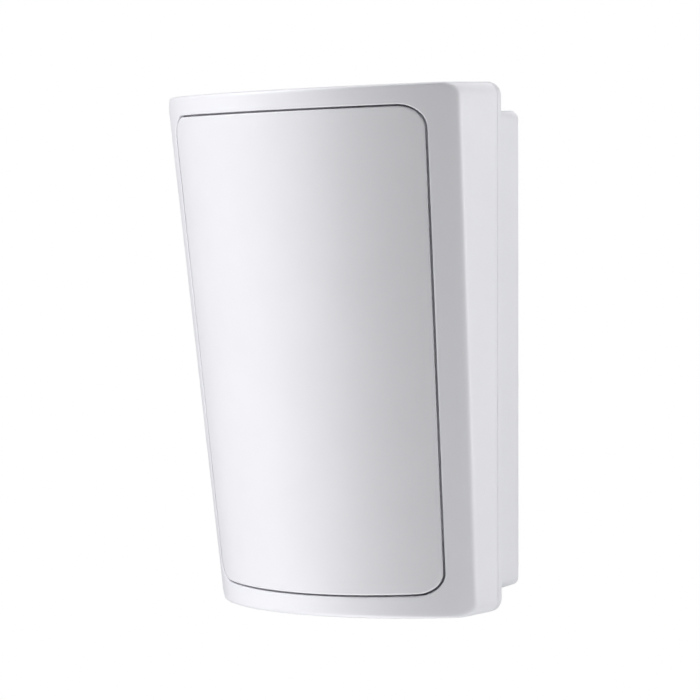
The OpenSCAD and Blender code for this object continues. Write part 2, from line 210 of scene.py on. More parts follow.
def front_y(x, z, inset=0.0):
    """Depth of the curved front at x, z, a distance inset behind it.

    The front is a cone about a leaning axis in the plane x = 0: a point is on it where its distance from
    the axis is the middle radius plus the slope times its place along the axis. That is a quadratic in y,
    and the front is its smaller root.
    """
    h = sizes()[0]
    back_top = h.front_r_top - h.depth_top
    back_bottom = h.front_r_bottom - h.depth_bottom
    lean = math.atan((back_top - back_bottom) / (2 * HALF_HEIGHT))
    slope = (h.front_r_top - h.front_r_bottom) * math.cos(lean) / (2 * HALF_HEIGHT)
    c, s = math.cos(lean), math.sin(lean)
    reach = (h.front_r_top + h.front_r_bottom) / 2 - inset + slope * c * z
    a = c * c - slope * slope * s * s
    b = -2 * c * s * z - 2 * slope * s * reach
    k = x * x + s * s * z * z - reach * reach
    return (back_top + back_bottom) / 2 + (-b - np.sqrt(b * b - 4 * a * k)) / (2 * a)


def on_front(points, inset=0.0):
    """Points (x, z) laid on the curved front, a distance inset behind it, as (x, y, z)."""
    x, z = points[..., 0], points[..., 1]
    return np.stack([x, front_y(x, z, inset), z], -1)


def at_depth(points, y):
    """Points (x, z) at a depth y, as (x, y, z)."""
    x, z = points[..., 0], points[..., 1]
    return np.stack([x, np.broadcast_to(y, x.shape), z], -1)


def parting_depth():
    """Depth of the plane where the cover meets the base."""
    h = sizes()[0]
    return -(h.box_depth + h.flange)


def side_slope():
    """How much the housing's half width grows for each metre upwards."""
    h = sizes()[0]
    return (h.width_top - h.width_bottom) / (4 * HALF_HEIGHT)


def half_width(z):
    """Half the housing's width at a height."""
    h = sizes()[0]
    return (h.width_top + h.width_bottom) / 4 + side_slope() * z


def raised(points, y):
    """Points of the cover's outline lifted as its underside rises towards the front.

    The lift is the tangent of the rise times the way in front of the parting plane. It is whole up to the
    corners' centres and fades out evenly over the height of the side; x follows the side's slope.
    """
    h = sizes()[0]
    x, z = points[..., 0], points[..., 1]
    full = h.corner_r - HALF_HEIGHT
    weight = np.clip((HALF_HEIGHT - z) / (HALF_HEIGHT - full), 0, 1)
    lift = math.tan(h.underside_rise) * np.maximum(parting_depth() - y, 0) * weight
    return np.stack([x * (1 + side_slope() * lift / half_width(z)), z + lift], -1)


def raised_front(points, inset=0.0):
    """Points of the cover's outline lifted by the underside's rise at the depth of the curved front."""
    return raised(points, front_y(points[..., 0], points[..., 1], inset))


def rounding(start, corner, end, steps):
    """Loops along the curve (1-t)^2 start + 2t(1-t) corner + t^2 end, with both ends."""
    shares = np.linspace(0, 1, steps + 1)
    return [(1 - t) ** 2 * start + 2 * t * (1 - t) * corner + t * t * end for t in shares]


def steps_between(start, end, steps):
    """Loops on the straight way from start to end, without its two ends."""
    return [start + (end - start) * t for t in np.linspace(0, 1, steps + 1)[1:-1]]


def side_share(loop):
    """For each point of a loop, 1 where the outline runs up a side and 0 where it runs across an end."""
    step = np.roll(loop, -1, 0) - np.roll(loop, 1, 0)
    step = step / np.maximum(np.linalg.norm(step, axis=1, keepdims=True), 1e-12)
    return (step[:, 1] ** 2)[:, None]


# ---------------------------------------------------------------- meshes

# Edges that bend by more than this many degrees stay hard.
SHARP = 35.0
# Points closer than DOUBLES are merged, and edges shorter than FLAT are dropped.
DOUBLES = 0.002 * MM
FLAT = 0.001 * MM
# Cutters reach this far past the face that they open.
PAST = 1.0 * MM


class Skin:
    """Collects grids of points and the faces between them, and makes an object of them."""

    def __init__(self):
        self.points = []
        self.faces = []
        self.count = 0

    def add(self, points):
        """Adds points and returns their numbers in the same arrangement."""
        self.points.append(points.reshape(-1, 3))
        numbers = np.arange(self.count, self.count + points[..., 0].size).reshape(points.shape[:-1])
        self.count += numbers.size
        return numbers

    def band(self, numbers, around=True):
        """Quads over rows of numbers; with around, the last column joins the first."""
        if around:
            numbers = np.concatenate([numbers, numbers[:, :1]], 1)
        quads = np.stack([numbers[:-1, :-1], numbers[:-1, 1:], numbers[1:, 1:], numbers[1:, :-1]], -1)
        self.faces.append(quads.reshape(-1, 4))

    def shell(self, start_grid, loops, end_grid):
        """A closed body: a grid, loops that run on from its edge, and a grid that ends them."""
        first, last = self.add(start_grid), self.add(end_grid)
        self.band(first, around=False)
        self.band(last, around=False)
        self.band(np.stack([edge_of(first), *(self.add(loop) for loop in loops), edge_of(last)]))
        return self

    def ring(self, loops):
        """A closed body with a hole through it: loops in turn, the last joining the first."""
        rings = [self.add(loop) for loop in loops]
        self.band(np.stack(rings + rings[:1]))
        return self

    def lathe(self, profile, centre, axis="y", steps=40):
        """A turned body: profile rows (radius, way along the axis) carried round it.

        Radius 0 closes an end. A y axis runs from the centre towards the front, a z axis runs up.
        """
        turn = np.linspace(0, 2 * math.pi, steps, endpoint=False)
        rows = np.array(profile, dtype=float)
        r, along = rows[:, :1], np.repeat(rows[:, 1:], steps, 1)
        first, second = r * np.cos(turn), r * np.sin(turn)
        order = (first, -along, second) if axis == "y" else (first, second, along)
        self.band(self.add(np.stack(order, -1) + np.array(centre)))
        return self

    def block(self, low, high, radius, steps=3):
        """A block with rounded edges.

        On each face of the box a grid of points q is taken; the nearest point c of the box made smaller by
        the radius is found, and q moves to c + radius * (q - c) / |q - c|.
        """
        low, high = np.minimum(low, high), np.maximum(low, high)
        centre, half = (low + high) / 2, (high - low) / 2
        inner = half - radius
        bend = radius * np.tan(np.linspace(0, math.pi / 4, steps + 1))
        for axis in range(3):
            u, v = (axis + 1) % 3, (axis + 2) % 3
            for sign in (-1, 1):
                marks = [np.concatenate([-(inner[k] + bend)[::-1], inner[k] + bend]) for k in (u, v)]
                q = np.zeros((len(marks[0]), len(marks[1]), 3))
                q[..., axis] = sign * half[axis]
                q[..., u] = marks[0][:, None]
                q[..., v] = marks[1][None, :]
                nearest = np.clip(q, -inner, inner)
                way = q - nearest
                way = way / np.linalg.norm(way, axis=-1, keepdims=True)
                self.band(self.add(nearest + radius * way + centre), around=False)
        return self

    def bar(self, edges):
        """A closed four-sided bar, from its four edges as rows of points."""
        numbers = np.stack([self.add(edge) for edge in edges], 1)
        self.band(numbers)
        self.faces.append(numbers[[0, -1]])
        return self

    def piece(self, name, look, sharp=SHARP):
        """The mesh as a new object in a named finish, smooth up to the sharp angle."""
        mesh = bpy.data.meshes.new(name)
        mesh.from_pydata(np.concatenate(self.points).tolist(), [], np.concatenate(self.faces).tolist())
        piece = bpy.data.objects.new(name, mesh)
        bpy.context.scene.collection.objects.link(piece)
        mesh.materials.append(material(look))
        return finish(piece, sharp)


def finish(piece, sharp=SHARP):
    """Merges doubles, drops flat faces, turns the faces outwards and shades them up to the sharp angle."""
    work = bmesh.new()
    work.from_mesh(piece.data)
    bmesh.ops.remove_doubles(work, verts=work.verts, dist=DOUBLES)
    bmesh.ops.dissolve_degenerate(work, edges=work.edges, dist=FLAT)
    bmesh.ops.recalc_face_normals(work, faces=work.faces)
    for face in work.faces:
        face.smooth = True
    work.to_mesh(piece.data)
    work.free()
    piece.data.set_sharp_from_angle(angle=math.radians(sharp))
    return piece


def cut(piece, *skins, sharp=SHARP):
    """Takes closed skins out of a piece for good."""
    cutters = [skin.piece("cutter", piece.data.materials[0].name) for skin in skins]
    for cutter in cutters:
        modifier = piece.modifiers.new("cut", "BOOLEAN")
        modifier.operation = "DIFFERENCE"
        modifier.solver = "EXACT"
        modifier.object = cutter
    bpy.context.view_layer.update()
    result = bpy.data.meshes.new_from_object(piece.evaluated_get(bpy.context.evaluated_depsgraph_get()))
    result.name = piece.name
    piece.modifiers.clear()
    piece.data = result
    for cutter in cutters:
        bpy.data.objects.remove(cutter)
    return finish(piece, sharp)


def joined(piece, *others):
    """Adds the other pieces' meshes to a piece."""
    work = bmesh.new()
    for part in (piece, *others):
        work.from_mesh(part.data)
    work.to_mesh(piece.data)
    work.free()
    for part in others:
        bpy.data.objects.remove(part)
    piece.data.set_sharp_from_angle(angle=math.radians(SHARP))
    return piece


def place(piece, body, slot, *nodes):
    """Makes a piece ride on a body and stand for its CAD nodes, which it hides; the slot is not used."""
    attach(piece, body)
    if nodes:
        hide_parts(*nodes)


def corner_arc(radius, height, edge, steps=4):
    """Profile points round the front edge of a turned body."""
    angles = np.linspace(0, math.pi / 2, steps + 1)
    return [(radius - edge + edge * math.cos(a), height - edge + edge * math.sin(a)) for a in angles]


def dome(radius, height, edge, steps=4):
    """Profile of a turned body from the middle of its back, with a rounded front edge."""
    return [(0.0, 0.0), (radius, 0.0), *corner_arc(radius, height, edge, steps), (0.0, height)]


def rod(radius, start, end):
    """Profile of a plain round rod between two places along its axis."""
    return [(0, start), (radius, start), (radius, end), (0, end)]


def washer(inner, outer, height):
    """Profile of a flat ring."""
    return [(inner, 0), (outer, 0), (outer, height), (inner, height), (inner, 0)]


def cross_cutters(centres, reach, width, depth, axis):
    """Two skins that cut crossed slots, sunk by depth into each centre along the axis."""
    skins = []
    for first, second in ((reach, width), (width, reach)):
        half = np.array({"y": (first / 2, depth, second / 2), "z": (first / 2, second / 2, depth)}[axis])
        skin = Skin()
        for centre in centres:
            skin.block(np.array(centre) - half, np.array(centre) + half, 0.1 * MM, 1)
        skins.append(skin)
    return skins


# ---------------------------------------------------------------- materials


def shader(name):
    """A new material with its node tree and Principled shader."""
    made = bpy.data.materials.new(name)
    made.use_nodes = True
    tree = made.node_tree
    return made, tree, tree.nodes["Principled BSDF"]


def noise(tree, scale, detail=2.0, roughness=0.5):
    """A noise texture on object coordinates; scale is in turns per metre."""
    where = tree.nodes.new("ShaderNodeTexCoord")
    texture = tree.nodes.new("ShaderNodeTexNoise")
    texture.inputs["Scale"].default_value = scale
    texture.inputs["Detail"].default_value = detail
    texture.inputs["Roughness"].default_value = roughness
    tree.links.new(where.outputs["Object"], texture.inputs["Vector"])
    return texture.outputs["Fac"]


def ramp(tree, source, low, high, low_tone, high_tone):
    """A colour that runs from one tone to another between two values of the source."""
    node = tree.nodes.new("ShaderNodeValToRGB")
    first, last = node.color_ramp.elements
    first.position, first.color = low, (*low_tone, 1.0)
    last.position, last.color = high, (*high_tone, 1.0)
    tree.links.new(source, node.inputs["Fac"])
    return node.outputs["Color"]


def mapped(tree, source, low, high):
    """A value from 0 to 1 mapped to another range."""
    node = tree.nodes.new("ShaderNodeMapRange")
    node.inputs["To Min"].default_value = low
    node.inputs["To Max"].default_value = high
    tree.links.new(source, node.inputs["Value"])
    return node.outputs["Result"]


def bump(tree, principled, height, distance, strength):
    """Feeds a height, in shares of distance, into the shader's normal."""
    node = tree.nodes.new("ShaderNodeBump")
    node.inputs["Distance"].default_value = distance
    node.inputs["Strength"].default_value = strength
    tree.links.new(height, node.inputs["Height"])
    tree.links.new(node.outputs["Normal"], principled.inputs["Normal"])


def tinted(tone, factor):
    """A colour made lighter or darker."""
    return tuple(min(1.0, c * factor) for c in tone)


def moulded(name, tone, gloss=0.42, grain=2600.0, depth=0.006 * MM, cloud=0.012):
    """Moulded plastic: a fine spark-eroded grain, faint clouding of the tone and an uneven sheen."""
    made, tree, principled = shader(name)
    tone_out = ramp(tree, noise(tree, 70.0, 3.0), 0.3, 0.7, tinted(tone, 1 - cloud),
                    tinted(tone, 1 + cloud))
    tree.links.new(tone_out, principled.inputs["Base Color"])
    fine = noise(tree, grain, 3.0, 0.6)
    tree.links.new(mapped(tree, fine, gloss - 0.05, gloss + 0.05), principled.inputs["Roughness"])
    bump(tree, principled, fine, depth, 0.6)
    principled.inputs["IOR"].default_value = 1.5
    return made


def plated(name, tone, gloss=0.28, grain=900.0):
    """Plated or tinned metal: a fine uneven sheen and a slightly mottled tone."""
    made, tree, principled = shader(name)
    fine = noise(tree, grain, 4.0)
    tree.links.new(ramp(tree, fine, 0.25, 0.75, tinted(tone, 0.85), tone), principled.inputs["Base Color"])
    tree.links.new(mapped(tree, fine, gloss - 0.08, gloss + 0.12), principled.inputs["Roughness"])
    bump(tree, principled, fine, 0.004 * MM, 0.5)
    principled.inputs["Metallic"].default_value = 1.0
    return made


def clear(name, tone, gloss=0.08):
    """Clear or tinted plastic that lets light through, with faint flow marks."""
    made, tree, principled = shader(name)
    marks = noise(tree, 220.0, 2.0)
    tree.links.new(ramp(tree, marks, 0.3, 0.7, tinted(tone, 0.96), tone), principled.inputs["Base Color"])
    tree.links.new(mapped(tree, marks, gloss, gloss + 0.08), principled.inputs["Roughness"])
    bump(tree, principled, marks, 0.01 * MM, 0.3)
    principled.inputs["Transmission Weight"].default_value = 0.85
    principled.inputs["IOR"].default_value = 1.49
    return made


FINISHES = {
    "inner_plastic": (moulded, (0.79, 0.79, 0.80), {"gloss": 0.5}),
    "dark_plastic": (moulded, (0.022, 0.022, 0.025), {"gloss": 0.45, "cloud": 0.2}),
    "chip_resin": (moulded, (0.018, 0.018, 0.019), {"gloss": 0.62, "grain": 5000.0, "cloud": 0.25}),
    "sleeve_film": (moulded, (0.012, 0.014, 0.03), {"gloss": 0.25, "grain": 700.0, "cloud": 0.2}),
    "terminal_plastic": (moulded, (0.02, 0.26, 0.06), {"gloss": 0.4, "cloud": 0.06}),
    "blue_plastic": (moulded, (0.015, 0.07, 0.36), {"gloss": 0.35, "cloud": 0.06}),
    "relay_plastic": (moulded, (0.76, 0.74, 0.68), {"gloss": 0.35}),
    "ivory_plastic": (moulded, (0.80, 0.79, 0.74), {"gloss": 0.35}),
    "print_ink": (moulded, (0.82, 0.82, 0.80), {"gloss": 0.6, "grain": 1800.0, "cloud": 0.05}),
    "silicon_glass": (moulded, (0.03, 0.026, 0.034), {"gloss": 0.12, "grain": 300.0, "cloud": 0.15}),
    "ceramic_brown": (moulded, (0.24, 0.16, 0.10), {"gloss": 0.4, "cloud": 0.1}),
    "steel_plate": (plated, (0.62, 0.63, 0.65), {}),
    "can_nickel": (plated, (0.72, 0.70, 0.66), {"gloss": 0.2}),
    "tin": (plated, (0.76, 0.76, 0.75), {"gloss": 0.3}),
    "clamp_brass": (plated, (0.74, 0.52, 0.20), {"gloss": 0.3}),
    "red_lens": (clear, (0.75, 0.03, 0.02), {}),
    "guide_acrylic": (clear, (0.93, 0.95, 0.96), {}),
}


def material(name):
    """One of the named finishes, made the first time it is asked for."""
    found = bpy.data.materials.get(name)
    if found:
        return found
    tones = sizes()[2]
    if name == "housing_plastic":
        return moulded(name, tuple(tones.shell))
    # Painted shade: the base's finish is the housing plastic darkened, standing in for shade on the box
    # behind the flange.
    if name == "base_plastic":
        return moulded(name, tuple(tones.base))
    if name == "lens_polyethylene":
        return moulded(name, tuple(tones.lens), gloss=0.40, grain=1500.0)
    if name == "board_lacquer":
        return moulded(name, tuple(tones.board), gloss=0.22, grain=500.0, cloud=0.12)
    if name == "trace_lacquer":
        return moulded(name, tinted(tuple(tones.board), 1.9), gloss=0.22, grain=500.0, cloud=0.12)
    maker, tone, more = FINISHES[name]
    return maker(name, tone, **more)


# ---------------------------------------------------------------- housing outlines


def housing_outline(inset, low=None, high=None, radius=None):
    """Outline of the housing, set in all round, or between two heights."""
    h = sizes()[0]
    low = inset - HALF_HEIGHT if low is None else low
    high = HALF_HEIGHT - inset if high is None else high
    radius = max(h.corner_r - inset, 0.6 * MM) if radius is None else radius
    return Outline(h.width_top / 2, h.width_bottom / 2, low, high, inset, radius)


def window_outline(grow, rows=SIDE_ROWS, columns=FLAT_COLUMNS):
    """Outline of the window, grown all round."""
    w = sizes()[1]
    low, high = w.margin_bottom - HALF_HEIGHT - grow, HALF_HEIGHT - w.margin_top + grow
    radius = max(w.corner_r + grow, 1.0 * MM)
    return Outline(w.half_top, w.half_bottom, low, high, -grow, radius, rows, columns)


# ---------------------------------------------------------------- cover

POCKET_HALF = 4.0 * MM
POCKET_WALL = 1.4 * MM
POCKET_DEPTH = 2.6 * MM
NOTCH_HALF = 1.75 * MM
HOOK_X = 18 * MM
HOOK_HALF = 4 * MM
HOOK_BLOCKS = (
    # two corners (y, z) in mm of the arm, the root and the nose, from the top edge at the parting plane
    ((-4.5, -3.2), (3.4, -1.6)),
    ((-4.5, -3.0), (0.0, -1.0)),
    ((2.3, -2.6), (3.4, -0.9)),
)


def cover_skin():
    """The cover's walls, as loops carried round the housing.

    Each loop follows the housing's outline. The profile runs from the parting line up the side, round the
    crease, over the curved front to the window's opening, in through it, and back along the inside.
    """
    h, w, _ = sizes()
    parting = parting_depth()
    outer = housing_outline(0.0).loop()
    inner = housing_outline(h.wall).loop()
    opening = window_outline(w.gap / 2).loop()
    outer_front = raised_front(outer)
    inner_front = raised_front(inner, h.wall)
    side = side_share(outer)
    crease = h.crease_side * side + h.crease_end * (1 - side)
    ends = np.linalg.norm(opening - outer_front, axis=1, keepdims=True)

    def over_front(share):
        return on_front(outer_front + (opening - outer_front) * share)

    edge = h.parting_round
    corner = over_front(0.0)
    crease_y = corner[:, 1] + crease[:, 0]
    below = at_depth(raised(outer, crease_y), crease_y)
    start = np.minimum(crease / ends, 0.45)
    end = 1 - w.edge_round / ends
    rim = at_depth(outer + (inner - outer) * (edge / h.wall), parting)
    low_wall = at_depth(outer, parting - edge)
    lip_corner = over_front(1.0)
    lip_end = lip_corner + np.array([0.0, w.edge_round, 0.0])
    loops = rounding(rim, at_depth(outer, parting), low_wall, 3)
    loops += steps_between(low_wall, below, 6)
    loops += rounding(below, corner, over_front(start), 8)
    loops += [over_front(start + (end - start) * t) for t in np.linspace(0, 1, 7)[1:-1]]
    loops += rounding(over_front(end), lip_corner, lip_end, 5)
    loops += [on_front(opening + (inner_front - opening) * t, h.wall) for t in np.linspace(0, 1, 5)]
    loops += [at_depth(inner, parting)]
    return Skin().ring(loops).piece("cover_shell", "housing_plastic")


def slot_cutter(half, low, high):
    """A slot open to the back with a round front end about the cover screw."""
    angles = np.linspace(math.pi, 2 * math.pi, 24)
    front = np.stack([half * np.cos(angles), SCREW_Y + half * np.sin(angles)], 1)
    loop = np.concatenate([front, [[half, PAST], [-half, PAST]]])
    middle = loop.mean(0)
    skin = Skin()
    rows = []
    for z, share in ((low, 0.0), (low, 1.0), (high, 1.0), (high, 0.0)):
        points = middle + (loop - middle) * share
        rows.append(skin.add(np.column_stack([points, np.full(len(points), z)])))
    skin.band(np.stack(rows))
    return skin


def screw_pocket():
    """The raised pocket in the cover's underside for the screw's head, with its slot open to the back."""
    half, roof = POCKET_HALF + POCKET_WALL, POCKET_DEPTH - HALF_HEIGHT
    skin = Skin().block((-half, SCREW_Y - half, sizes()[0].wall / 2 - HALF_HEIGHT),
                        (half, parting_depth(), POCKET_DEPTH + POCKET_WALL - HALF_HEIGHT), 0.35 * MM)
    return cut(skin.piece("screw_pocket", "housing_plastic"),
               slot_cutter(POCKET_HALF, -HALF_HEIGHT - PAST, roof),
               slot_cutter(NOTCH_HALF, roof - PAST, roof + 3 * MM))


def cover_fittings():
    """The two hooks that hang the cover on the flange and the arm that holds the tamper plunger down."""
    wall = sizes()[0].wall
    parting = parting_depth()
    skin = Skin()
    for x in (-HOOK_X, HOOK_X):
        for (y0, z0), (y1, z1) in HOOK_BLOCKS:
            skin.block((x - HOOK_HALF, parting + y0 * MM, HALF_HEIGHT + z0 * MM),
                       (x + HOOK_HALF, parting + y1 * MM, HALF_HEIGHT + z1 * MM), 0.3 * MM)
    low = node_box("tamper_plunger")[0]
    z = node_middle("tamper_plunger")[2]
    inner, outer = low[0] - wall / 2, half_width(z) - wall / 2
    clearance, arm, rib_half = 0.05 * MM, 3 * MM, 0.6 * MM
    front = low[1] - clearance
    skin.block((inner, front - arm, z - wall), (outer, front, z + wall), 0.4 * MM)
    skin.block((outer - arm, front - 4 * MM, z - rib_half), (outer, front - 2 * MM, z + rib_half), 0.3 * MM)
    return skin.piece("cover_fittings", "housing_plastic")


class SENSOR_OT_cover(bpy.types.Operator):
    """Build the front cover: its shell, the hooks, the tamper arm and the screw pocket"""

    bl_idname = "sensor.cover"
    bl_label = "Front cover"

    def execute(self, context):
        slot = slot_cutter(POCKET_HALF, -HALF_HEIGHT - PAST, POCKET_DEPTH - HALF_HEIGHT)
        shell = cut(cover_skin(), slot)
        place(shell, "cover", "shell_plastic", "front_cover")
        place(screw_pocket(), "cover", "shell_plastic")
        place(cover_fittings(), "cover", "shell_plastic")
        return {"FINISHED"}


# ---------------------------------------------------------------- window

LENS_ROWS = 200
LENS_COLUMNS = 140
LENS_ROW_EDGES = (0.0, 0.24, 0.52, 1.0)
GROOVE_CENTRE = 0.45
RIM_UNDERCUT = 0.9 * MM


def groove_height(points):
    """Height of the lens grooves at points (x, z), from 0 to the groove depth.

    The window is split into rows, and each row into equal segments. About the middle of its segment each
    groove is a saw tooth in the distance r: the depth times one less the fraction of r / pitch.
    """
    w = sizes()[1]
    x, z = points[..., 0], points[..., 1]
    edges = z.min() + (z.max() - z.min()) * np.array(LENS_ROW_EDGES)
    counts = np.array([w.segments - 4, w.segments - 2, w.segments])
    row = np.clip(np.searchsorted(edges, z, side="right") - 1, 0, 2)
    width = 2 * np.abs(x).max()
    each = width / counts[row]
    middle_x = (np.floor((x + width / 2) / each) + 0.5) * each - width / 2
    middle_z = edges[row] + (edges[row + 1] - edges[row]) * GROOVE_CENTRE
    r = np.hypot(x - middle_x, z - middle_z) / w.groove_pitch
    return w.groove_depth * (1 - (r - np.floor(r)))


def window_skin():
    """The window: a smooth face, a step back all round, a flange behind the cover and a grooved back."""
    h, w, _ = sizes()
    flange_front = h.wall + 0.2 * MM
    flange_back = flange_front + 0.8 * MM
    edge_wall = 1.2 * MM

    def outline(grow):
        return window_outline(grow, LENS_ROWS, LENS_COLUMNS)

    face = outline(-w.gap / 2 - w.edge_round)
    rim = outline(-w.gap / 2).loop()
    flange = outline(w.flange_reach).loop()
    inside = outline(-w.gap / 2 - edge_wall)
    undercut = rim + (outline(-w.gap / 2 - RIM_UNDERCUT).loop() - rim) * side_share(rim)
    corner = on_front(rim)
    loops = rounding(on_front(face.loop()), corner, corner + np.array([0.0, w.edge_round, 0.0]), 5)[1:]
    loops += [on_front(undercut, flange_front), on_front(flange, flange_front)]
    loops += [on_front(flange, flange_back), on_front(inside.loop(), flange_back)]
    grid = inside.grid()
    grooves = groove_height(grid)
    grooves[[0, -1]] = 0
    grooves[:, [0, -1]] = 0
    back = on_front(grid, w.thickness + grooves)
    return Skin().shell(on_front(face.grid()), loops, back).piece("lens_panel", "lens_polyethylene")


def retainer_skin():
    """The frame that holds the window in the cover, with softened edges."""
    wall = sizes()[0].wall
    front, back, soft = wall + 1.1 * MM, wall + 2.3 * MM, 0.2 * MM
    outer, inner = window_outline(2.0 * MM).loop(), window_outline(-3.0 * MM).loop()
    share = soft / (5 * MM)
    near, far = outer + (inner - outer) * share, inner + (outer - inner) * share
    rows = ((near, front), (outer, front + soft), (outer, back - soft), (near, back),
            (far, back), (inner, back - soft), (inner, front + soft), (far, front))
    loops = [on_front(loop, inset) for loop, inset in rows]
    return Skin().ring(loops).piece("retainer_frame", "inner_plastic")


class SENSOR_OT_window(bpy.types.Operator):
    """Build the lens window with its grooved inner face, and the frame that holds it"""

    bl_idname = "sensor.window"
    bl_label = "Lens window"

    def execute(self, context):
        place(window_skin(), "cover", "lens_plastic", "lens_window")
        place(retainer_skin(), "cover", "shell_plastic", "lens_retainer")
        return {"FINISHED"}


# ---------------------------------------------------------------- base


def tray_skin():
    """The base: a closed tray, from the back face over the box, the flange and the lip into the cavity."""
    h = sizes()[0]
    rear, front = -h.box_depth, parting_depth()
    back_round, flange_round, soft = 0.5 * MM, 0.35 * MM, 0.25 * MM
    lip_gap, lip_wall, lip_height = 0.2 * MM, 1.2 * MM, 2.0 * MM
    edge = h.parting_round

    def box(inset):
        return housing_outline(inset, inset - h.box_bottom, h.box_top - inset,
                               max(h.box_corner_r - inset, 0.5 * MM))

    back, side = box(back_round), box(0.0).loop()
    flange = housing_outline(0.0).loop()
    ends = 1 - side_share(flange)
    flange_in = flange + (housing_outline(flange_round).loop() - flange) * ends
    rim = housing_outline(edge).loop()
    lip_out = housing_outline(h.wall + lip_gap).loop()
    lip_in = housing_outline(h.wall + lip_gap + lip_wall, radius=1.0 * MM).loop()
    cavity = housing_outline(h.wall + lip_gap + lip_wall, h.wall - h.box_bottom, h.box_top - h.wall,
                             h.box_corner_r)
    lip_top = front - lip_height
    loops = rounding(at_depth(back.loop(), 0.0), at_depth(side, 0.0), at_depth(side, -back_round), 5)[1:]
    loops += steps_between(at_depth(side, -back_round), at_depth(side, rear), 4)
    loops += [at_depth(side, rear)]
    loops += rounding(at_depth(flange_in, rear), at_depth(flange, rear),
                      at_depth(flange, rear - flange_round), 5)
    loops += rounding(at_depth(flange, front + edge), at_depth(flange, front), at_depth(rim, front), 3)
    loops += [at_depth(lip_out, front), at_depth(lip_out, lip_top + soft)]
    loops += [at_depth(lip_out + (lip_in - lip_out) * t, lip_top) for t in (0.2, 0.8)]
    loops += [at_depth(lip_in, lip_top + soft), at_depth(lip_in, front), at_depth(cavity.loop(), front)]
    skin = Skin().shell(at_depth(back.grid(), 0.0), loops, at_depth(cavity.grid(), -h.wall))
    return skin.piece("base_tray", "base_plastic")


def mount(name):
    """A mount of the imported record."""
    return next(m for m in frame["record"]["mounts"] if m["name"] == name)


def wall_screw_heights():
    """Heights of the two wall screws."""
    screws = mount("wall_screw_holes")
    reach = screws["dims"]["spacing_y_mm"] * MM / 2
    return screws["pos_m"][2] - reach, screws["pos_m"][2] + reach


def hole_cutter(z, radius, depth, chamfer):
    """A round hole from the wall face, chamfered where it starts."""
    rows = [(0, -PAST), (radius + chamfer + PAST, -PAST), (radius, chamfer), (radius, depth), (0, depth)]
    return Skin().lathe(rows, (0.0, 0.0, z))


def base_cutters():
    """The wall holes, the cable hole, the slots for the cover's hooks and the room for the screw pocket."""
    through = 2 * sizes()[0].wall
    radius, cable = mount("wall_screw_holes")["dims"]["hole_r_mm"] * MM, mount("cable_entry")
    cutters = [hole_cutter(z, radius, through, 0.25 * MM) for z in wall_screw_heights()]
    cutters.append(hole_cutter(cable["pos_m"][2], cable["dims"]["r_mm"] * MM, through, 0.4 * MM))
    front, hook_room = -60 * MM, 4.3 * MM
    for x in (-HOOK_X, HOOK_X):
        cutters.append(Skin().block((x - hook_room, front, HALF_HEIGHT - 5 * MM),
                                    (x + hook_room, PAST, HALF_HEIGHT - 1.4 * MM), 0.3 * MM, 2))
    half = POCKET_HALF + POCKET_WALL + 0.3 * MM
    cutters.append(Skin().block((-half, front, -HALF_HEIGHT - 5 * MM), (half, parting_depth(), -50 * MM),
                                0.2 * MM, 2))
    return cutters


def boss_places():
    """Places (x, z) of the four board screws."""
    low, high = node_box("board_screws")
    reach = BOARD_SCREW_HEAD_R
    return [(x, z) for x in (low[0] + reach, high[0] - reach) for z in (low[2] + reach, high[2] - reach)]


def bosses():
    """Bosses that carry the board, each with four ribs, a chamfered rim and a screw hole."""
    foot = -sizes()[0].wall / 2
    back = node_box("circuit_board")[1][1]
    top, outer, bore = -back + foot, 3.0 * MM, 1.3 * MM
    rows = [(bore, 0), (outer + 0.4 * MM, 0), (outer, 0.5 * MM), (outer, -back - 1.25 * MM),
            (outer - 0.2 * MM, top), (bore + 0.15 * MM, top), (bore, -back - 1.3 * MM), (bore, 0)]
    near, far, rib_half, rib_front = 2.6 * MM, 4.4 * MM, 0.4 * MM, back + 2.2 * MM
    skin = Skin()
    for x, z in boss_places():
        skin.lathe(rows, (x, foot, z))
        for dx, dz in ((1, 0), (-1, 0), (0, 1), (0, -1)):
            side_x, side_z = rib_half * abs(dz), rib_half * abs(dx)
            skin.block((x + dx * near - side_x, rib_front, z + dz * near - side_z),
                       (x + dx * far + side_x, foot, z + dz * far + side_z), 0.15 * MM, 1)
    return skin.piece("bosses", "base_plastic")


def screw_lug():
    """The lug above the screw pocket, drilled for the cover screw."""
    half, front, foot = 4 * MM, -18 * MM, -55.4 * MM
    top = node_box("cover_screw")[1][2]
    lug = Skin().block((-half, front, foot), (half, -sizes()[0].wall / 2, top), 0.4 * MM)
    bore = Skin().lathe(rod(1.55 * MM, -60 * MM, -40 * MM), (SCREW_X, SCREW_Y, 0.0), axis="z", steps=32)
    return cut(lug.piece("lug", "base_plastic"), bore)


class SENSOR_OT_base(bpy.types.Operator):
    """Build the base that stands on the wall, with its holes, slots, bosses and screw lug"""

    bl_idname = "sensor.base"
    bl_label = "Base"

    def execute(self, context):
        tray = cut(tray_skin(), *base_cutters())
        place(joined(tray, bosses(), screw_lug()), "base", "shell_plastic", "base_shell")
        return {"FINISHED"}


# ---------------------------------------------------------------- circuit board

COPPER = 0.05 * MM
BOARD_SCREW_HEAD = 1.8 * MM
BOARD_SCREW_HEAD_R = 2.6 * MM
TRACE_WIDTH = 0.5 * MM


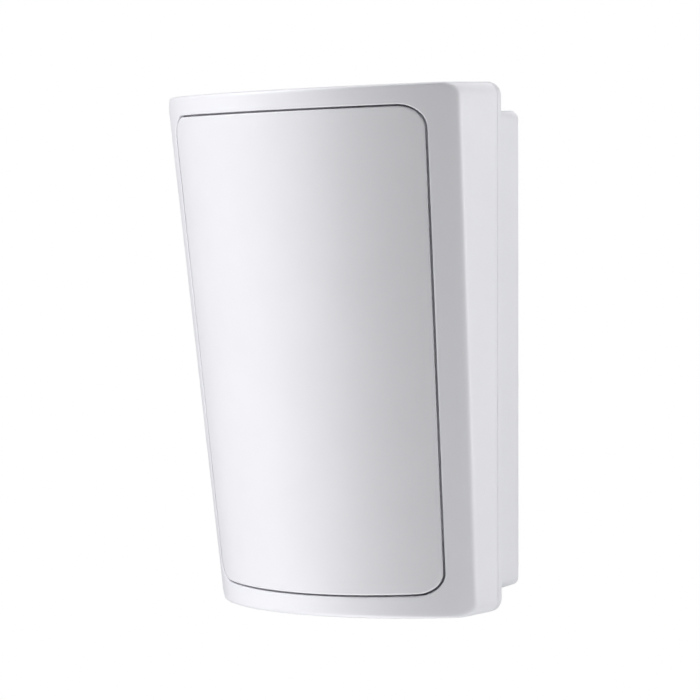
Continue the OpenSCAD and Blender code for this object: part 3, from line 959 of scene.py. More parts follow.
def board_plate():
    """The board: the housing's outline set in, with its holes."""
    low, high = node_box("circuit_board")
    inset, corner, soft = 4.0 * MM, 2.0 * MM, 0.12 * MM
    access_r, screw_hole_r = 4.0 * MM, 1.35 * MM

    def outline(more):
        return housing_outline(inset + more, low[2] + more, high[2] - more, corner - more)

    front, back = low[1], high[1]
    loops = [at_depth(outline(0.0).loop(), y) for y in (front + soft, back - soft)]
    inner = outline(soft).grid()
    plate = Skin().shell(at_depth(inner, front), loops, at_depth(inner, back))
    holes = [(0.0, z, access_r) for z in wall_screw_heights()]
    holes += [(x, z, screw_hole_r) for x, z in boss_places()]
    cutter = Skin()
    for x, z, radius in holes:
        cutter.lathe(rod(radius, 0, 20 * MM), (x, 0.0, z))
    return cut(plate.piece("board_plate", "board_lacquer"), cutter)


def strip(skin, points, width, height):
    """A flat strip along a route of (x, z) points on the board's front, mitred at its bends.

    At each point the strip reaches half its width to both sides along the mean of the normals of the two
    stretches, lengthened by one over the cosine of half the bend.
    """
    route = np.array(points, dtype=float) * MM
    way = np.diff(route, axis=0)
    way = way / np.linalg.norm(way, axis=1, keepdims=True)
    normal = np.stack([-way[:, 1], way[:, 0]], 1)
    mean = np.concatenate([normal[:1], normal[:-1] + normal[1:], normal[-1:]])
    mean = mean / np.linalg.norm(mean, axis=1, keepdims=True)
    reach = width / 2 / np.sum(mean * np.concatenate([normal[:1], normal]), 1, keepdims=True)
    left, right = route + mean * reach, route - mean * reach
    top = BOARD_FRONT - height
    skin.bar([at_depth(left, BOARD_FRONT), at_depth(left, top), at_depth(right, top),
              at_depth(right, BOARD_FRONT)])


def parallel(first, count, step):
    """Copies of a route, each moved on by a step (x, z)."""
    return [[(x + i * step[0], z + i * step[1]) for x, z in first] for i in range(count)]


ROUTES = (
    # the supply and the relay contacts, from the terminal block upwards
    *parallel([(-12.5, -38), (-12.5, -35), (-18, -31), (-18, -17)], 2, (5, 0)),
    [(2.5, -38), (2.5, -34), (14, -34), (18, -31)],
    [(7.5, -38), (7.5, -36), (20, -36), (25, -32)],
    [(12.5, -38), (30, -38), (33, -33), (33, 24)],
    # the sensor's signal to the chip
    *parallel([(-4.4, 0), (-9, -4.4), (-12, -4.4)], 4, (0, -1.27)),
    *parallel([(4.4, 1), (9, -4), (9, -9)], 3, (1.2, 0)),
    # the chip to the switches, the trimmer and the lamp
    *parallel([(-22, -3), (-25.5, 1), (-25.5, 12), (-22, 15)], 4, (-0.9, 0)),
    [(-14, 24), (-8, 30), (6, 30), (15, 24)],
    [(-14, 26), (-9, 31.2), (7, 31.2), (16, 24.6)],
    [(-24, 33), (-24, 27), (-21, 24)],
    [(21, 24), (24, 28), (28, 28)],
    # surface parts
    *parallel([(-6, -12.6), (-6, -9)], 5, (3, 0)),
    *parallel([(-6, -19.4), (-6, -22), (-8, -24)], 3, (3, 0)),
    *parallel([(9, 34.4), (9, 38), (6, 41)], 4, (3, 0)),
    [(-20, 41), (0, 45), (20, 41)],
)


def pad_boxes():
    """Middle and half size (x, z) of the pads under the surface parts and the chip's legs."""
    pads = [(x, z + end * 1.15 * MM, 0.8 * MM, 0.55 * MM) for x, z in surface_places() for end in (-1, 1)]
    low, high = node_box("chip_legs")
    setback, half_x, half_z = 0.4 * MM, 0.9 * MM, 0.28 * MM
    for z in leg_rows():
        pads += [(x, z, half_x, half_z) for x in (low[0] + setback, high[0] - setback)]
    return pads


def copper_parts():
    """Tinned pads, rings round the screw holes and small vias, a little proud of the board."""
    skin = Skin()
    lift, clear_of = 1.4 * COPPER, 0.7 * MM
    pads = pad_boxes()
    for x, z in boss_places():
        skin.lathe(washer(1.4 * MM, 3.3 * MM, lift), (x, BOARD_FRONT, z), steps=20)
    for route in ROUTES:
        for x, z in (np.array(route[0]) * MM, np.array(route[-1]) * MM):
            if not any(abs(x - px) < a + clear_of and abs(z - pz) < b + clear_of for px, pz, a, b in pads):
                skin.lathe(washer(0.2 * MM, 0.55 * MM, lift), (x, BOARD_FRONT, z), steps=20)
    for x, z, a, b in pads:
        skin.block((x - a, BOARD_FRONT - lift, z - b), (x + a, BOARD_FRONT, z + b), 0.02 * MM, 1)
    return skin.piece("board_pads", "tin")


def traces():
    """The lacquered copper strips of the board."""
    skin = Skin()
    for route in ROUTES:
        strip(skin, route, TRACE_WIDTH, COPPER)
    return skin.piece("board_traces", "trace_lacquer")


def print_marks():
    """White outlines printed round the larger parts, without lettering."""
    skin = Skin()
    gap, line, ink = 0.5 * MM, 0.2 * MM, 0.6 * COPPER
    edge_x, seam = 35.4, 0.01
    for node in ("terminal_body", "alarm_relay", "option_switch_body", "range_trimmer_body", "tamper_case"):
        low, high = node_box(node)
        x0, z0, x1, z1 = (v / MM for v in (low[0] - gap, low[2] - gap, high[0] + gap, high[2] + gap))
        x1 = min(x1, edge_x)
        middle = (z0 + z1) / 2
        strip(skin, [(x0, middle), (x0, z0), (x1, z0), (x1, z1), (x0, z1), (x0, middle + seam)], line, ink)
    x, _, z = node_middle("sensor_shroud")
    radius = 8.4 * MM
    skin.lathe(washer(radius, radius + line, ink), (x, BOARD_FRONT, z), steps=48)
    return skin.piece("board_print", "print_ink")


def board_screw_set():
    """Four pan-head screws with crossed recesses and threaded shanks."""
    back = node_box("board_screws")[1][1]
    skin, shanks = Skin(), Skin()
    radius, height = BOARD_SCREW_HEAD_R, BOARD_SCREW_HEAD
    rows = [(0.0, 0.0), (radius - 0.1 * MM, 0.0), (radius, 0.15 * MM),
            *corner_arc(radius, height, 1.0 * MM, 5), (0.0, height)]
    for x, z in boss_places():
        skin.lathe(rows, (x, BOARD_FRONT, z), steps=36)
        thread(shanks, (x, BOARD_FRONT, z), 1.25 * MM, 0.5 * MM, back - BOARD_FRONT, "y")
    tops = [(x, BOARD_FRONT - height, z) for x, z in boss_places()]
    heads = cut(skin.piece("board_screw_set", "steel_plate"),
                *cross_cutters(tops, 2.8 * MM, 0.6 * MM, 0.9 * MM, "y"))
    return joined(heads, shanks.piece("shanks", "steel_plate"))


def thread(skin, centre, radius, pitch, length_along, axis):
    """A threaded shank: at angle a and way s its radius falls with a triangle wave of s/pitch - a/turn.

    It runs from the centre along the axis, backwards for y, and its radius is 0 at both ends.
    """
    around, steps_a_pitch, groove = 24, 6, 0.3 * pitch
    rows = int(round(length_along / pitch * steps_a_pitch)) + 1
    turn = np.linspace(0, 2 * math.pi, around, endpoint=False)[None, :]
    way = np.linspace(0, length_along, rows)[:, None]
    phase = way / pitch - turn / (2 * math.pi)
    wave = np.abs(2 * (phase - np.floor(phase)) - 1)
    r = radius - groove * wave
    r = np.concatenate([np.zeros((1, around)), r, np.zeros((1, around))])
    way = np.concatenate([way[:1], way, way[-1:]])
    first, second = r * np.cos(turn), r * np.sin(turn)
    along = np.repeat(way, around, 1)
    order = (first, along, second) if axis == "y" else (first, second, along)
    skin.band(skin.add(np.stack(order, -1) + np.array(centre)))


class SENSOR_OT_board(bpy.types.Operator):
    """Build the circuit board with its traces, pads, printed outlines and screws"""

    bl_idname = "sensor.board"
    bl_label = "Circuit board"

    def execute(self, context):
        place(board_plate(), "base", "board_laminate", "circuit_board")
        place(traces(), "base", "board_laminate")
        place(copper_parts(), "base", "tinned_metal")
        place(print_marks(), "base", "board_laminate")
        place(board_screw_set(), "base", "screw_steel", "board_screws")
        return {"FINISHED"}


class SENSOR_OT_cover_screw(bpy.types.Operator):
    """Build the cover screw: a pan head with a crossed recess, and a threaded shank"""

    bl_idname = "sensor.cover_screw"
    bl_label = "Cover screw"

    def execute(self, context):
        low, high = node_box("cover_screw")
        radius, head_h = (high[0] - low[0]) / 2, 2.0 * MM
        crown = [(r, -way) for r, way in corner_arc(radius, head_h, 0.7 * MM, 5)]
        rows = [(0.0, 0.0), (radius - 0.1 * MM, 0.0), (radius, -0.12 * MM), *crown, (0.0, -head_h)]
        top = (SCREW_X, SCREW_Y, low[2] + head_h)
        head = Skin().lathe(rows, top, axis="z", steps=48).piece("cover_screw_finish", "steel_plate")
        recess = cross_cutters([(SCREW_X, SCREW_Y, low[2])], 3.2 * MM, 0.75 * MM, 1.2 * MM, "z")
        shank = Skin()
        thread(shank, top, 1.5 * MM, 0.8 * MM, high[2] - top[2], "z")
        whole = joined(cut(head, *recess), shank.piece("shank", "steel_plate"))
        place(whole, "cover_screw", "screw_steel", "cover_screw")
        return {"FINISHED"}


# ---------------------------------------------------------------- infrared sensor


class SENSOR_OT_detector(bpy.types.Operator):
    """Build the infrared sensor: its header and leads, can, filter and hood"""

    bl_idname = "sensor.detector"
    bl_label = "Infrared sensor"

    def execute(self, context):
        place(self.can(), "base", "can_steel", "sensor_can")
        low, high = node_box("sensor_filter")
        pane = Skin().block(low, high, 0.06 * MM, 2).piece("filter_pane", "silicon_glass")
        place(pane, "base", "filter_silicon", "sensor_filter")
        place(self.header(), "base", "can_steel", "sensor_header")
        place(self.hood(), "base", "dark_plastic", "sensor_shroud")
        return {"FINISHED"}

    def can(self):
        """The can: a cup with a rounded edge and an opening for the filter."""
        low, high = node_box("sensor_can")
        x, _, z = node_middle("sensor_can")
        radius, height, wall = (high[0] - low[0]) / 2, high[1] - low[1], 0.3 * MM
        rows = dome(radius, height, 0.5 * MM)[1:-1]
        rows += [(0.0, height), (0.0, height - wall), (radius - wall, height - wall), (radius - wall, 0),
                 rows[0]]
        cup = Skin().lathe(rows, (x, high[1], z), steps=64).piece("can_cap", "can_nickel")
        half_x, half_z = 2.0 * MM, 1.5 * MM
        opening = Skin().block((x - half_x, low[1] - PAST, z - half_z),
                               (x + half_x, low[1] + PAST, z + half_z), 0.25 * MM)
        return cut(cup, opening)

    def header(self):
        """The header's flange and its three leads with solder cones."""
        low, high = node_box("sensor_header")
        x, _, z = node_middle("sensor_can")
        back, flange, lead, circle = node_box("sensor_can")[1][1], 0.8 * MM, 0.22 * MM, 2.54 * MM
        skin = Skin().lathe(dome((high[0] - low[0]) / 2, flange, 0.2 * MM), (x, back + flange, z), steps=64)
        end = high[1] - back - flange
        cone = [(0, 0), (0.6 * MM, 0), (0.3 * MM, 0.35 * MM), (lead, 0.7 * MM), (0, 0.7 * MM)]
        for angle in (0, 120, 240):
            a = math.radians(angle)
            lead_x, lead_z = x + circle * math.cos(a), z + circle * math.sin(a)
            skin.lathe([(0, 0), (lead, 0.1 * MM), (lead, end), (0, end)], (lead_x, high[1], lead_z), steps=16)
            skin.lathe(cone, (lead_x, BOARD_FRONT, lead_z), steps=16)
        return skin.piece("header_base", "can_nickel")

    def hood(self):
        """The flared hood: an even wall with a rounded rim, standing on the board."""
        low, high = node_box("sensor_shroud")
        x, _, z = node_middle("sensor_shroud")
        height, wide, narrow, wall = high[1] - low[1], (high[0] - low[0]) / 2, 6.4 * MM, 1.0 * MM
        middle = wide - wall / 2
        rim = [(middle + wall / 2 * math.cos(a), height - wall / 2 + wall / 2 * math.sin(a))
               for a in np.linspace(0, math.pi, 8)]
        rows = [(narrow, 0), (narrow + wall + 0.2 * MM, 0), (narrow + wall, 0.5 * MM), *rim, (narrow, 0)]
        return Skin().lathe(rows, (x, high[1], z), steps=72).piece("sensor_hood", "dark_plastic")


# ---------------------------------------------------------------- terminals

WAYS = 6


def way_pitch():
    """Distance between two ways of the terminal block, whose two ends take half a millimetre each."""
    low, high = node_box("terminal_body")
    return (high[0] - low[0] - MM) / WAYS


def way_places():
    """Middles of the terminal block's ways."""
    middle = node_middle("terminal_body")[0]
    return [middle + (i - (WAYS - 1) / 2) * way_pitch() for i in range(WAYS)]


class SENSOR_OT_terminals(bpy.types.Operator):
    """Build the terminal block with its wire entries, screws and cages"""

    bl_idname = "sensor.terminals"
    bl_label = "Terminal block"

    def execute(self, context):
        place(self.body(), "base", "terminal_plastic", "terminal_body")
        place(self.screws(), "base", "screw_steel", "terminal_screws")
        place(self.cages(), "base", "clamp_brass", "terminal_clamps")
        return {"FINISHED"}

    def body(self):
        """The block with a well and a wire entry for each way, and a groove between each two."""
        low, high = node_box("terminal_body")
        z = node_middle("terminal_screws")[2]
        cages_low, cages_high = node_box("terminal_clamps")
        wells, entries, grooves = Skin(), Skin(), Skin()
        well = [(0, 0), (1.9 * MM, 0), (1.9 * MM, 4.9 * MM), (2.2 * MM, 5.5 * MM), (2.4 * MM, 8 * MM),
                (0, 8 * MM)]
        entry, room, groove = 1.7 * MM, 0.1 * MM, 0.2 * MM
        for x in way_places():
            wells.lathe(well, (x, low[1] + 5.5 * MM, z), steps=32)
            entries.block((x - entry, cages_low[1] - room, low[2] - PAST),
                          (x + entry, cages_high[1] + room, z + entry), 0.25 * MM, 2)
        for x in way_places()[:-1]:
            edge = x + way_pitch() / 2
            grooves.block((edge - groove, low[1] - PAST, low[2] - PAST),
                          (edge + groove, low[1] + 2 * groove, high[2] + PAST), 0.05 * MM, 1)
        body = Skin().block(low, high, 0.3 * MM).piece("terminal_block", "terminal_plastic")
        return cut(body, wells, entries, grooves)

    def screws(self):
        """Slotted screws in the wells."""
        low, high = node_box("terminal_screws")
        z = node_middle("terminal_screws")[2]
        skin, slots = Skin(), Skin()
        for x in way_places():
            skin.lathe(dome(1.7 * MM, high[1] - low[1], 0.35 * MM), (x, high[1], z), steps=32)
            slots.block((x - 2 * MM, low[1] - PAST, z - 0.3 * MM),
                        (x + 2 * MM, low[1] + 0.8 * MM, z + 0.3 * MM), 0.05 * MM, 1)
        return cut(skin.piece("terminal_screw_set", "steel_plate"), slots)

    def cages(self):
        """Square brass cages with rounded edges, open at both ends."""
        low, high = node_box("terminal_clamps")
        half, middle_y = (high[1] - low[1]) / 2, (low[1] + high[1]) / 2
        wall, soft, tight = 0.5 * MM, 0.3 * MM, 0.1 * MM
        rows = ((half, soft, low[2]), (half, soft, high[2]), (half - wall, tight, high[2]),
                (half - wall, tight, low[2]))
        a = np.linspace(0, math.pi / 2, 5)
        skin = Skin()
        for x in way_places():
            loops = []
            for reach, radius, z in rows:
                px, py = reach - radius + radius * np.cos(a), reach - radius + radius * np.sin(a)
                ring_x = np.concatenate([px, -px[::-1], -px, px[::-1]])
                ring_y = np.concatenate([py, py[::-1], -py, -py[::-1]])
                loops.append(np.stack([x + ring_x, middle_y + ring_y, np.full(len(ring_x), z)], 1))
            skin.ring(loops)
        return skin.piece("terminal_cage_set", "clamp_brass")


# ---------------------------------------------------------------- other parts on the board

LEGS_A_SIDE = 9
LEG_WIDTH = 0.42 * MM
CHIP_SHARP = 20.0


def leg_rows():
    """Heights of the chip's legs."""
    low, high = node_box("chip_legs")
    return np.linspace(low[2] + LEG_WIDTH / 2, high[2] - LEG_WIDTH / 2, LEGS_A_SIDE)


def surface_places():
    """Middles (x, z) of the small surface parts: two rows of five and a staggered row of four."""
    low, high = node_box("surface_parts")
    half, pitch = 0.625 * MM, 3 * MM
    rows = [(low[0] + half + pitch * i, low[2] + MM + 4 * MM * row) for row in range(2) for i in range(5)]
    return rows + [(high[0] - half - pitch * (3 - i), high[2] - MM * (1 + i % 2)) for i in range(4)]


class SENSOR_OT_tamper(bpy.types.Operator):
    """Build the tamper switch: its case and its plunger"""

    bl_idname = "sensor.tamper"
    bl_label = "Tamper switch"

    def execute(self, context):
        low, high = node_box("tamper_case")
        x, _, z = node_middle("tamper_plunger")
        case = Skin().block(low, high, 0.3 * MM).piece("tamper_body", "dark_plastic")
        bore = Skin().lathe(rod(1.56 * MM, 0, 6 * MM), (x, low[1] + 4.2 * MM, z))
        seam, deep = Skin(), 0.15 * MM
        for side in (low[0], high[0]):
            seam.block((side - deep, low[1] + 2.0 * MM, low[2] - PAST),
                       (side + deep, low[1] + 2.2 * MM, high[2] + PAST), 0.02 * MM, 1)
        place(cut(case, bore, seam), "base", "dark_plastic", "tamper_case")
        low, high = node_box("tamper_plunger")
        rows = dome((high[0] - low[0]) / 2, high[1] - low[1], 0.6 * MM, 6)
        button = Skin().lathe(rows, (x, high[1], z), steps=40).piece("tamper_button", "ivory_plastic")
        place(button, "tamper_plunger", "control_plastic", "tamper_plunger")
        return {"FINISHED"}


class SENSOR_OT_parts(bpy.types.Operator):
    """Build the relay, the chip and its legs, the capacitors and the small surface parts"""

    bl_idname = "sensor.parts"
    bl_label = "Relay, chip and capacitors"

    def execute(self, context):
        place(self.relay(), "base", "relay_plastic", "alarm_relay")
        place(self.chip(), "base", "dark_plastic", "controller_chip")
        place(self.legs(), "base", "tinned_metal", "chip_legs")
        place(self.cans(), "base", "sleeve_plastic", "capacitors")
        place(self.can_tops(), "base", "tinned_metal")
        place(self.small_parts(), "base", "dark_plastic", "surface_parts")
        place(self.small_ends(), "base", "tinned_metal")
        return {"FINISHED"}

    def relay(self):
        """The relay's case, with a vent nib and a seam round its foot."""
        low, high = node_box("alarm_relay")
        case = Skin().block(low, high, 0.6 * MM, 4).piece("relay_case", "relay_plastic")
        foot, seam, deep = high[1] - 1.2 * MM, 0.15 * MM, 0.12 * MM
        x0, x1, z0, z1 = low[0] - PAST, high[0] + PAST, low[2] - PAST, high[2] + PAST
        groove = Skin()
        for start, end in (((x0, z0), (low[0] + deep, z1)), ((high[0] - deep, z0), (x1, z1)),
                           ((x0, high[2] - deep), (x1, z1)), ((x0, z0), (x1, low[2] + deep))):
            groove.block((start[0], foot - seam, start[1]), (end[0], foot, end[1]), 0.02 * MM, 1)
        nib = Skin().lathe(washer(0.5 * MM, 0.75 * MM, 1 * MM),
                           (high[0] - 2.2 * MM, low[1] + 0.25 * MM, high[2] - 2.4 * MM), steps=20)
        return cut(case, groove, nib)

    def chip(self):
        """The chip's case: sides that lean in from the middle, and a dimple at its first leg."""
        low, high = node_box("controller_chip")
        middle = (low + high) / 2
        lean, soft = 0.15 * MM, 0.08 * MM

        def plan(inset, y):
            x0, x1, z0, z1 = low[0] + inset, high[0] - inset, low[2] + inset, high[2] - inset
            return np.array([[x0, y, z0], [x1, y, z0], [x1, y, z1], [x0, y, z1]])

        def centre(y):
            return np.tile([middle[0], y, middle[2]], (4, 1))

        rows = [centre(high[1]), plan(lean, high[1]), plan(0, middle[1]), plan(lean, low[1] + soft),
                plan(lean + soft, low[1]), centre(low[1])]
        skin = Skin()
        skin.band(np.stack([skin.add(row) for row in rows]))
        case = skin.piece("chip_case", "chip_resin", CHIP_SHARP)
        at = (low[0] + 1.2 * MM, low[1] + 0.12 * MM, high[2] - 1.2 * MM)
        return cut(case, Skin().lathe(rod(0.5 * MM, 0, MM), at, steps=24), sharp=CHIP_SHARP)

    def legs(self):
        """Gull-wing legs: a flat strip that leaves the case, bends down and lies on its pad."""
        body_low, body_high = node_box("controller_chip")
        high = node_box("chip_legs")[1]
        thick = 0.16 * MM
        reach = high[0] - body_high[0]
        half = (body_low[1] + body_high[1]) / 2
        t = np.linspace(0, 1, 13)
        bend = t * t * (3 - 2 * t)
        x = reach * (0.12 + 0.88 * t)
        y = half + (BOARD_FRONT - thick / 2 - COPPER - half) * bend
        slope = np.gradient(y, x)
        length_of = np.hypot(1, slope)
        normal_x, normal_y = -slope / length_of, 1 / length_of
        skin = Skin()
        for side, edge in ((-1, body_low[0]), (1, body_high[0])):
            for z in leg_rows():
                px = edge + side * (x - 0.1 * reach)
                skin.bar([np.stack([px + side * up * normal_x * thick / 2, y + up * normal_y * thick / 2,
                                    np.full(len(t), z + across * LEG_WIDTH / 2)], 1)
                          for across, up in ((-1, -1), (1, -1), (1, 1), (-1, 1))])
        return skin.piece("chip_leg_set", "tin")

    def can_places(self):
        """Middle, radius and height of the two capacitors."""
        low, high = node_box("capacitors")
        big, small = 4.0 * MM, 3.2 * MM
        return [(low[0] + big, low[2] + big, big, high[1] - low[1]),
                (high[0] - small, high[2] - small - 1.8 * MM, small, 8 * MM)]

    def cans(self):
        """The capacitors' sleeves, drawn in at the neck and turned over the rim."""
        skin = Skin()
        for x, z, r, h in self.can_places():
            rows = [(0, 0), (r - 0.4 * MM, 0), (r, 0.4 * MM), (r, 1.0 * MM), (r - 0.3 * MM, 1.5 * MM),
                    (r, 2.0 * MM), (r, h - 0.5 * MM), (r - 0.15 * MM, h - 0.15 * MM), (r - 0.5 * MM, h),
                    (r - 0.9 * MM, h - 0.05 * MM), (r - 0.9 * MM, h - 0.3 * MM), (0, h - 0.3 * MM)]
            skin.lathe(rows, (x, BOARD_FRONT, z), steps=48)
        return skin.piece("capacitor_set", "sleeve_film")

    def can_tops(self):
        """Bare metal tops with a crossed vent."""
        skin, vents = Skin(), []
        for x, z, r, h in self.can_places():
            rows = [(0, 0), (r - 0.92 * MM, 0), (r - 0.95 * MM, 0.2 * MM), (0, 0.24 * MM)]
            skin.lathe(rows, (x, BOARD_FRONT - h + 0.3 * MM, z), steps=40)
            top = (x, BOARD_FRONT - h + 0.06 * MM, z)
            vents += cross_cutters([top], 1.24 * r, 0.2 * MM, 0.1 * MM, "y")
        return cut(skin.piece("capacitor_tops", "tin"), *vents)

    def small_parts(self):
        """Bodies of the small surface parts."""
        top = node_box("surface_parts")[0][1]
        half_x, half_z = 0.6 * MM, 0.8 * MM
        skin = Skin()
        for x, z in surface_places():
            skin.block((x - half_x, top, z - half_z), (x + half_x, BOARD_FRONT - 0.07 * MM, z + half_z),
                       0.06 * MM, 2)
        return skin.piece("surface_part_set", "ceramic_brown")

    def small_ends(self):
        """Tinned ends of the small surface parts."""
        top = node_box("surface_parts")[0][1]
        half_x = 0.625 * MM
        skin = Skin()
        for x, z in surface_places():
            for end in (-1, 1):
                skin.block((x - half_x, top, z + end * 0.62 * MM),
                           (x + half_x, BOARD_FRONT, z + end * 1.0 * MM), 0.08 * MM, 2)
        return skin.piece("surface_part_ends", "tin")


class SENSOR_OT_controls(bpy.types.Operator):
    """Build the option switches, the range trimmer, the walk-test lamp and its light guide"""

    bl_idname = "sensor.controls"
    bl_label = "Controls and lamp"

    def execute(self, context):
        self.option_block()
        self.trimmer()
        self.lamp()
        return {"FINISHED"}

    def option_block(self):
        """The block with a slot for each slider, and the sliders with ridged tops."""
        body = Skin().block(*node_box("option_switch_body"), 0.25 * MM).piece("option_block", "blue_plastic")
        names = [n for n in frame["nodes"] if n.startswith("option_slider_")]
        slots, room = Skin(), 0.15 * MM
        for name in names:
            low, high = node_box(name)
            slots.block((low[0] - room, low[1] - 3 * MM, low[2] - room),
                        (high[0] + room, high[1] + room, high[2] + slider_travel(name) + room), 0.08 * MM, 1)
        place(cut(body, slots), "base", "control_body", "option_switch_body")
        for name in names:
            low, high = node_box(name)
            grooves, groove = Skin(), 0.1 * MM
            for share in (1, 2):
                z = low[2] + (high[2] - low[2]) * share / 3
                grooves.block((low[0] - PAST, low[1] - PAST, z - groove),
                              (high[0] + PAST, low[1] + 0.15 * MM, z + groove), 0.03 * MM, 1)
            knob = Skin().block(low, high, 0.12 * MM, 2).piece(name + "_knob", "ivory_plastic")
            place(cut(knob, grooves), name, "control_plastic", name)

    def trimmer(self):
        """The trimmer's body and its slotted rotor."""
        low, high = node_box("range_trimmer_body")
        x, _, z = node_middle("range_trimmer_rotor")
        body = Skin().block(low, high, 0.3 * MM).piece("trimmer_block", "blue_plastic")
        well = Skin().lathe(rod(1.95 * MM, 0, 3 * MM), (x, low[1] + 0.9 * MM, z))
        place(cut(body, well), "base", "control_body", "range_trimmer_body")
        low, high = node_box("range_trimmer_rotor")
        rows = dome((high[0] - low[0]) / 2, high[1] - low[1], 0.25 * MM)
        disc = Skin().lathe(rows, (x, high[1], z), steps=48).piece("trimmer_rotor", "ivory_plastic")
        slot = Skin().block((x - 0.3 * MM, low[1] - PAST, z - 1.4 * MM),
                            (x + 0.3 * MM, low[1] + 0.6 * MM, z + 1.4 * MM), 0.08 * MM, 2)
        mark = Skin().block((x - 0.1 * MM, low[1] - PAST, z + 0.4 * MM),
                            (x + 1.0 * MM, low[1] + 0.3 * MM, z + 0.8 * MM), 0.05 * MM, 1)
        place(cut(disc, slot, mark), "range_trimmer_rotor", "control_plastic", "range_trimmer_rotor")

    def lamp(self):
        """The lamp with its rim, its leads, and the clear guide over it."""
        low, high = node_box("walk_test_led")
        x, _, z = node_middle("walk_test_led")
        height, rim, radius = high[1] - low[1], (high[0] - low[0]) / 2, 1.5 * MM
        top = corner_arc(radius, height, radius, 7)
        rows = [(0, 0), (rim, 0), (rim, 0.9 * MM), (radius, 1.0 * MM), *top[:-1], (0, height)]
        lens = Skin().lathe(rows, (x, high[1], z), steps=40).piece("lamp_lens", "red_lens")
        place(lens, "base", "led_plastic", "walk_test_led")
        low, high = node_box("led_leads")
        leads, lead = Skin(), 0.25 * MM
        for side in (low[0] + lead, high[0] - lead):
            leads.lathe(rod(lead, 0, high[1] - low[1]), (side, high[1], z), steps=16)
        place(leads.piece("lamp_leads", "tin"), "base", "tinned_metal", "led_leads")
        low, high = node_box("light_pipe")
        foot, pipe, room, soft = (high[0] - low[0]) / 2, 2.0 * MM, 0.1 * MM, 0.3 * MM
        end, bore, step = high[1] - low[1], 5.4 * MM, 6.2 * MM
        rows = [(pipe + room, 0), (foot, 0), (foot, step - soft), (foot - soft, step), (pipe, step + soft),
                (pipe, end - soft), (pipe - soft, end), (0, end), (0, bore), (pipe + room, bore),
                (pipe + room, 0)]
        guide = Skin().lathe(rows, (x, high[1], z), steps=40).piece("light_guide", "guide_acrylic")
        place(guide, "base", "clear_acrylic", "light_pipe")


def slider_travel(node):
    """Travel of the joint that moves a slider."""
    joint = next(j for j in frame["record"]["behaviour"]["joints"] if j["child"] == node)
    return joint["range_m"][1]


# ---------------------------------------------------------------- stage

VIEW_TURN = math.radians(35.0)
VIEW_TILT = math.radians(4.334)
VIEW_ROLL = math.radians(-2.365)
VIEW_DISTANCE = 596.4 * MM
VIEW_SHIFT = (3.63 * MM, 0.367 * MM)
VIEW_AIM = Vector((0.0, -18.9 * MM, 0.0))
LIGHT_AIM = Vector((0.0, -20 * MM, 0.0))
LENS_MM = 133.3
FLOOR_DEPTH = 350 * MM
FLOOR_REACH = 1.1
FLOOR_SIDES = 96
FLOOR_TONE = (0.98, 0.98, 0.98, 1.0)
WHITE = (1.0, 1.0, 1.0, 1.0)
AMBIENT = 0.0
SOFTBOXES = (
    # name, azimuth, height, distance, (width, height), watts
    ("key_left", -45.0, 0.1, 0.9, (0.5, 0.9), 2.0),
    ("key_front", -15.0, 0.1, 0.9, (0.5, 0.9), 1.6),
    ("side", 120.0, 0.1, 0.9, (0.5, 0.9), 7.7),
    ("rear", 140.0, 0.1, 0.9, (0.5, 0.9), 0.9),
    ("top", -50.0, 0.75, 0.6, (0.6, 0.6), 8.3),
    ("overhead", 90.0, 0.8, 0.02, (0.5, 0.5), 1.0),
    ("back", 180.0, 0.3, 0.9, (0.6, 0.6), 2.5),
    ("low", 0.0, -0.75, 0.45, (0.8, 0.8), 8.6),
)


def add_camera():
    """The camera: turned to the right of the front, a little above it and rolled."""
    turn, tilt, roll = VIEW_TURN, VIEW_TILT, VIEW_ROLL
    into = Vector((-math.sin(turn) * math.cos(tilt), math.cos(turn) * math.cos(tilt), -math.sin(tilt)))
    right = Vector((math.cos(turn), math.sin(turn), 0.0))
    up = right.cross(into)
    right_rolled = math.cos(roll) * right + math.sin(roll) * up
    up_rolled = -math.sin(roll) * right + math.cos(roll) * up
    aim = VIEW_AIM + VIEW_SHIFT[0] * right_rolled + VIEW_SHIFT[1] * up_rolled
    data = bpy.data.cameras.new("camera")
    data.sensor_width = 36.0
    data.lens = LENS_MM
    data.clip_start = 0.01
    camera = bpy.data.objects.new("camera", data)
    axes = Matrix((right_rolled, up_rolled, -into)).transposed()
    camera.matrix_world = Matrix.Translation(aim - VIEW_DISTANCE * into) @ axes.to_4x4()
    bpy.context.scene.collection.objects.link(camera)
    bpy.context.scene.camera = camera


def softbox(name, azimuth, height, distance, size, power):
    """A rectangular light aimed at the housing: azimuth 0 is in front of it, positive to its right."""
    data = bpy.data.lights.new(name, "AREA")
    data.shape = "RECTANGLE"
    data.size, data.size_y = size
    data.energy = power
    light = bpy.data.objects.new(name, data)
    a = math.radians(azimuth)
    light.location = (distance * math.sin(a), -distance * math.cos(a), height)
    light.rotation_euler = (LIGHT_AIM - light.location).to_track_quat("-Z", "Y").to_euler()
    bpy.context.scene.collection.objects.link(light)


def white_room():
    """Surroundings that look white to the camera and give the ambient light."""
    world = bpy.data.worlds.new("white_room")
    bpy.context.scene.world = world
    world.use_nodes = True
    tree = world.node_tree
    even = tree.nodes["Background"]
    even.inputs["Color"].default_value = WHITE
    even.inputs["Strength"].default_value = AMBIENT
    seen = tree.nodes.new("ShaderNodeBackground")
    seen.inputs["Color"].default_value = WHITE
    path = tree.nodes.new("ShaderNodeLightPath")
    mix = tree.nodes.new("ShaderNodeMixShader")
    tree.links.new(path.outputs["Is Camera Ray"], mix.inputs["Fac"])
    tree.links.new(even.outputs["Background"], mix.inputs[1])
    tree.links.new(seen.outputs["Background"], mix.inputs[2])
    tree.links.new(mix.outputs["Shader"], tree.nodes["World Output"].inputs["Surface"])


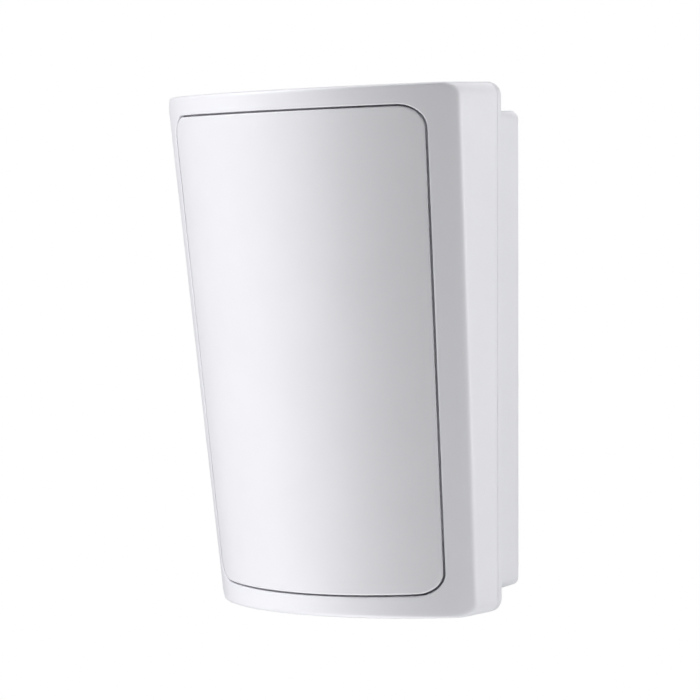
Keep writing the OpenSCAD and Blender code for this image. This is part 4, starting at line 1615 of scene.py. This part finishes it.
def floor():
    """A pale round floor below the sensor, clear from its underside."""
    made = bpy.data.materials.new("pale_floor")
    made.use_nodes = True
    tree = made.node_tree
    tree.nodes.clear()
    out = tree.nodes.new("ShaderNodeOutputMaterial")
    white = tree.nodes.new("ShaderNodeEmission")
    white.inputs["Color"].default_value = FLOOR_TONE
    clear_side = tree.nodes.new("ShaderNodeBsdfTransparent")
    mix = tree.nodes.new("ShaderNodeMixShader")
    geometry = tree.nodes.new("ShaderNodeNewGeometry")
    tree.links.new(geometry.outputs["Backfacing"], mix.inputs["Fac"])
    tree.links.new(white.outputs["Emission"], mix.inputs[1])
    tree.links.new(clear_side.outputs["BSDF"], mix.inputs[2])
    tree.links.new(mix.outputs["Shader"], out.inputs["Surface"])
    angles = np.linspace(0, 2 * math.pi, FLOOR_SIDES, endpoint=False)
    flat = np.full(FLOOR_SIDES, -FLOOR_DEPTH)
    rim = np.stack([FLOOR_REACH * np.cos(angles), FLOOR_REACH * np.sin(angles), flat], 1)
    mesh = bpy.data.meshes.new("floor")
    mesh.from_pydata(rim.tolist(), [], [list(range(FLOOR_SIDES))])
    mesh.materials.append(made)
    disc = bpy.data.objects.new("floor", mesh)
    bpy.context.scene.collection.objects.link(disc)
    disc.visible_diffuse = False
    disc.visible_glossy = False
    disc.visible_shadow = False


class SENSOR_OT_stage(bpy.types.Operator):
    """Set up the camera, the softboxes, the pale floor and the white surroundings"""

    bl_idname = "sensor.stage"
    bl_label = "Stage"

    def execute(self, context):
        add_camera()
        for row in SOFTBOXES:
            softbox(*row)
        white_room()
        floor()
        context.scene.view_settings.view_transform = "Standard"
        return {"FINISHED"}


# ---------------------------------------------------------------- panel and running


class SENSOR_PT_panel(bpy.types.Panel):
    """The sensor's pieces, in the order in which they are built"""

    bl_idname = "SENSOR_PT_panel"
    bl_label = "Motion Sensor"
    bl_space_type = "VIEW_3D"
    bl_region_type = "UI"
    bl_category = "Sensor"

    def draw(self, context):
        for step in STEPS:
            self.layout.operator(step.bl_idname)


STEPS = (
    SENSOR_OT_stage, SENSOR_OT_cover, SENSOR_OT_window, SENSOR_OT_base, SENSOR_OT_cover_screw,
    SENSOR_OT_board, SENSOR_OT_detector, SENSOR_OT_terminals, SENSOR_OT_tamper, SENSOR_OT_parts,
    SENSOR_OT_controls,
)
CLASSES = (HousingSizes, WindowSizes, Colours, *STEPS, SENSOR_PT_panel)


def register():
    for item in CLASSES:
        bpy.utils.register_class(item)
    bpy.types.Scene.sensor_housing = PointerProperty(type=HousingSizes)
    bpy.types.Scene.sensor_window = PointerProperty(type=WindowSizes)
    bpy.types.Scene.sensor_colours = PointerProperty(type=Colours)


def unregister():
    del bpy.types.Scene.sensor_colours
    del bpy.types.Scene.sensor_window
    del bpy.types.Scene.sensor_housing
    for item in reversed(CLASSES):
        bpy.utils.unregister_class(item)


def main():
    """Builds the sensor."""
    register()
    for step in STEPS:
        group, name = step.bl_idname.split(".")
        getattr(getattr(bpy.ops, group), name)()


if __name__ == "__main__":
    main()
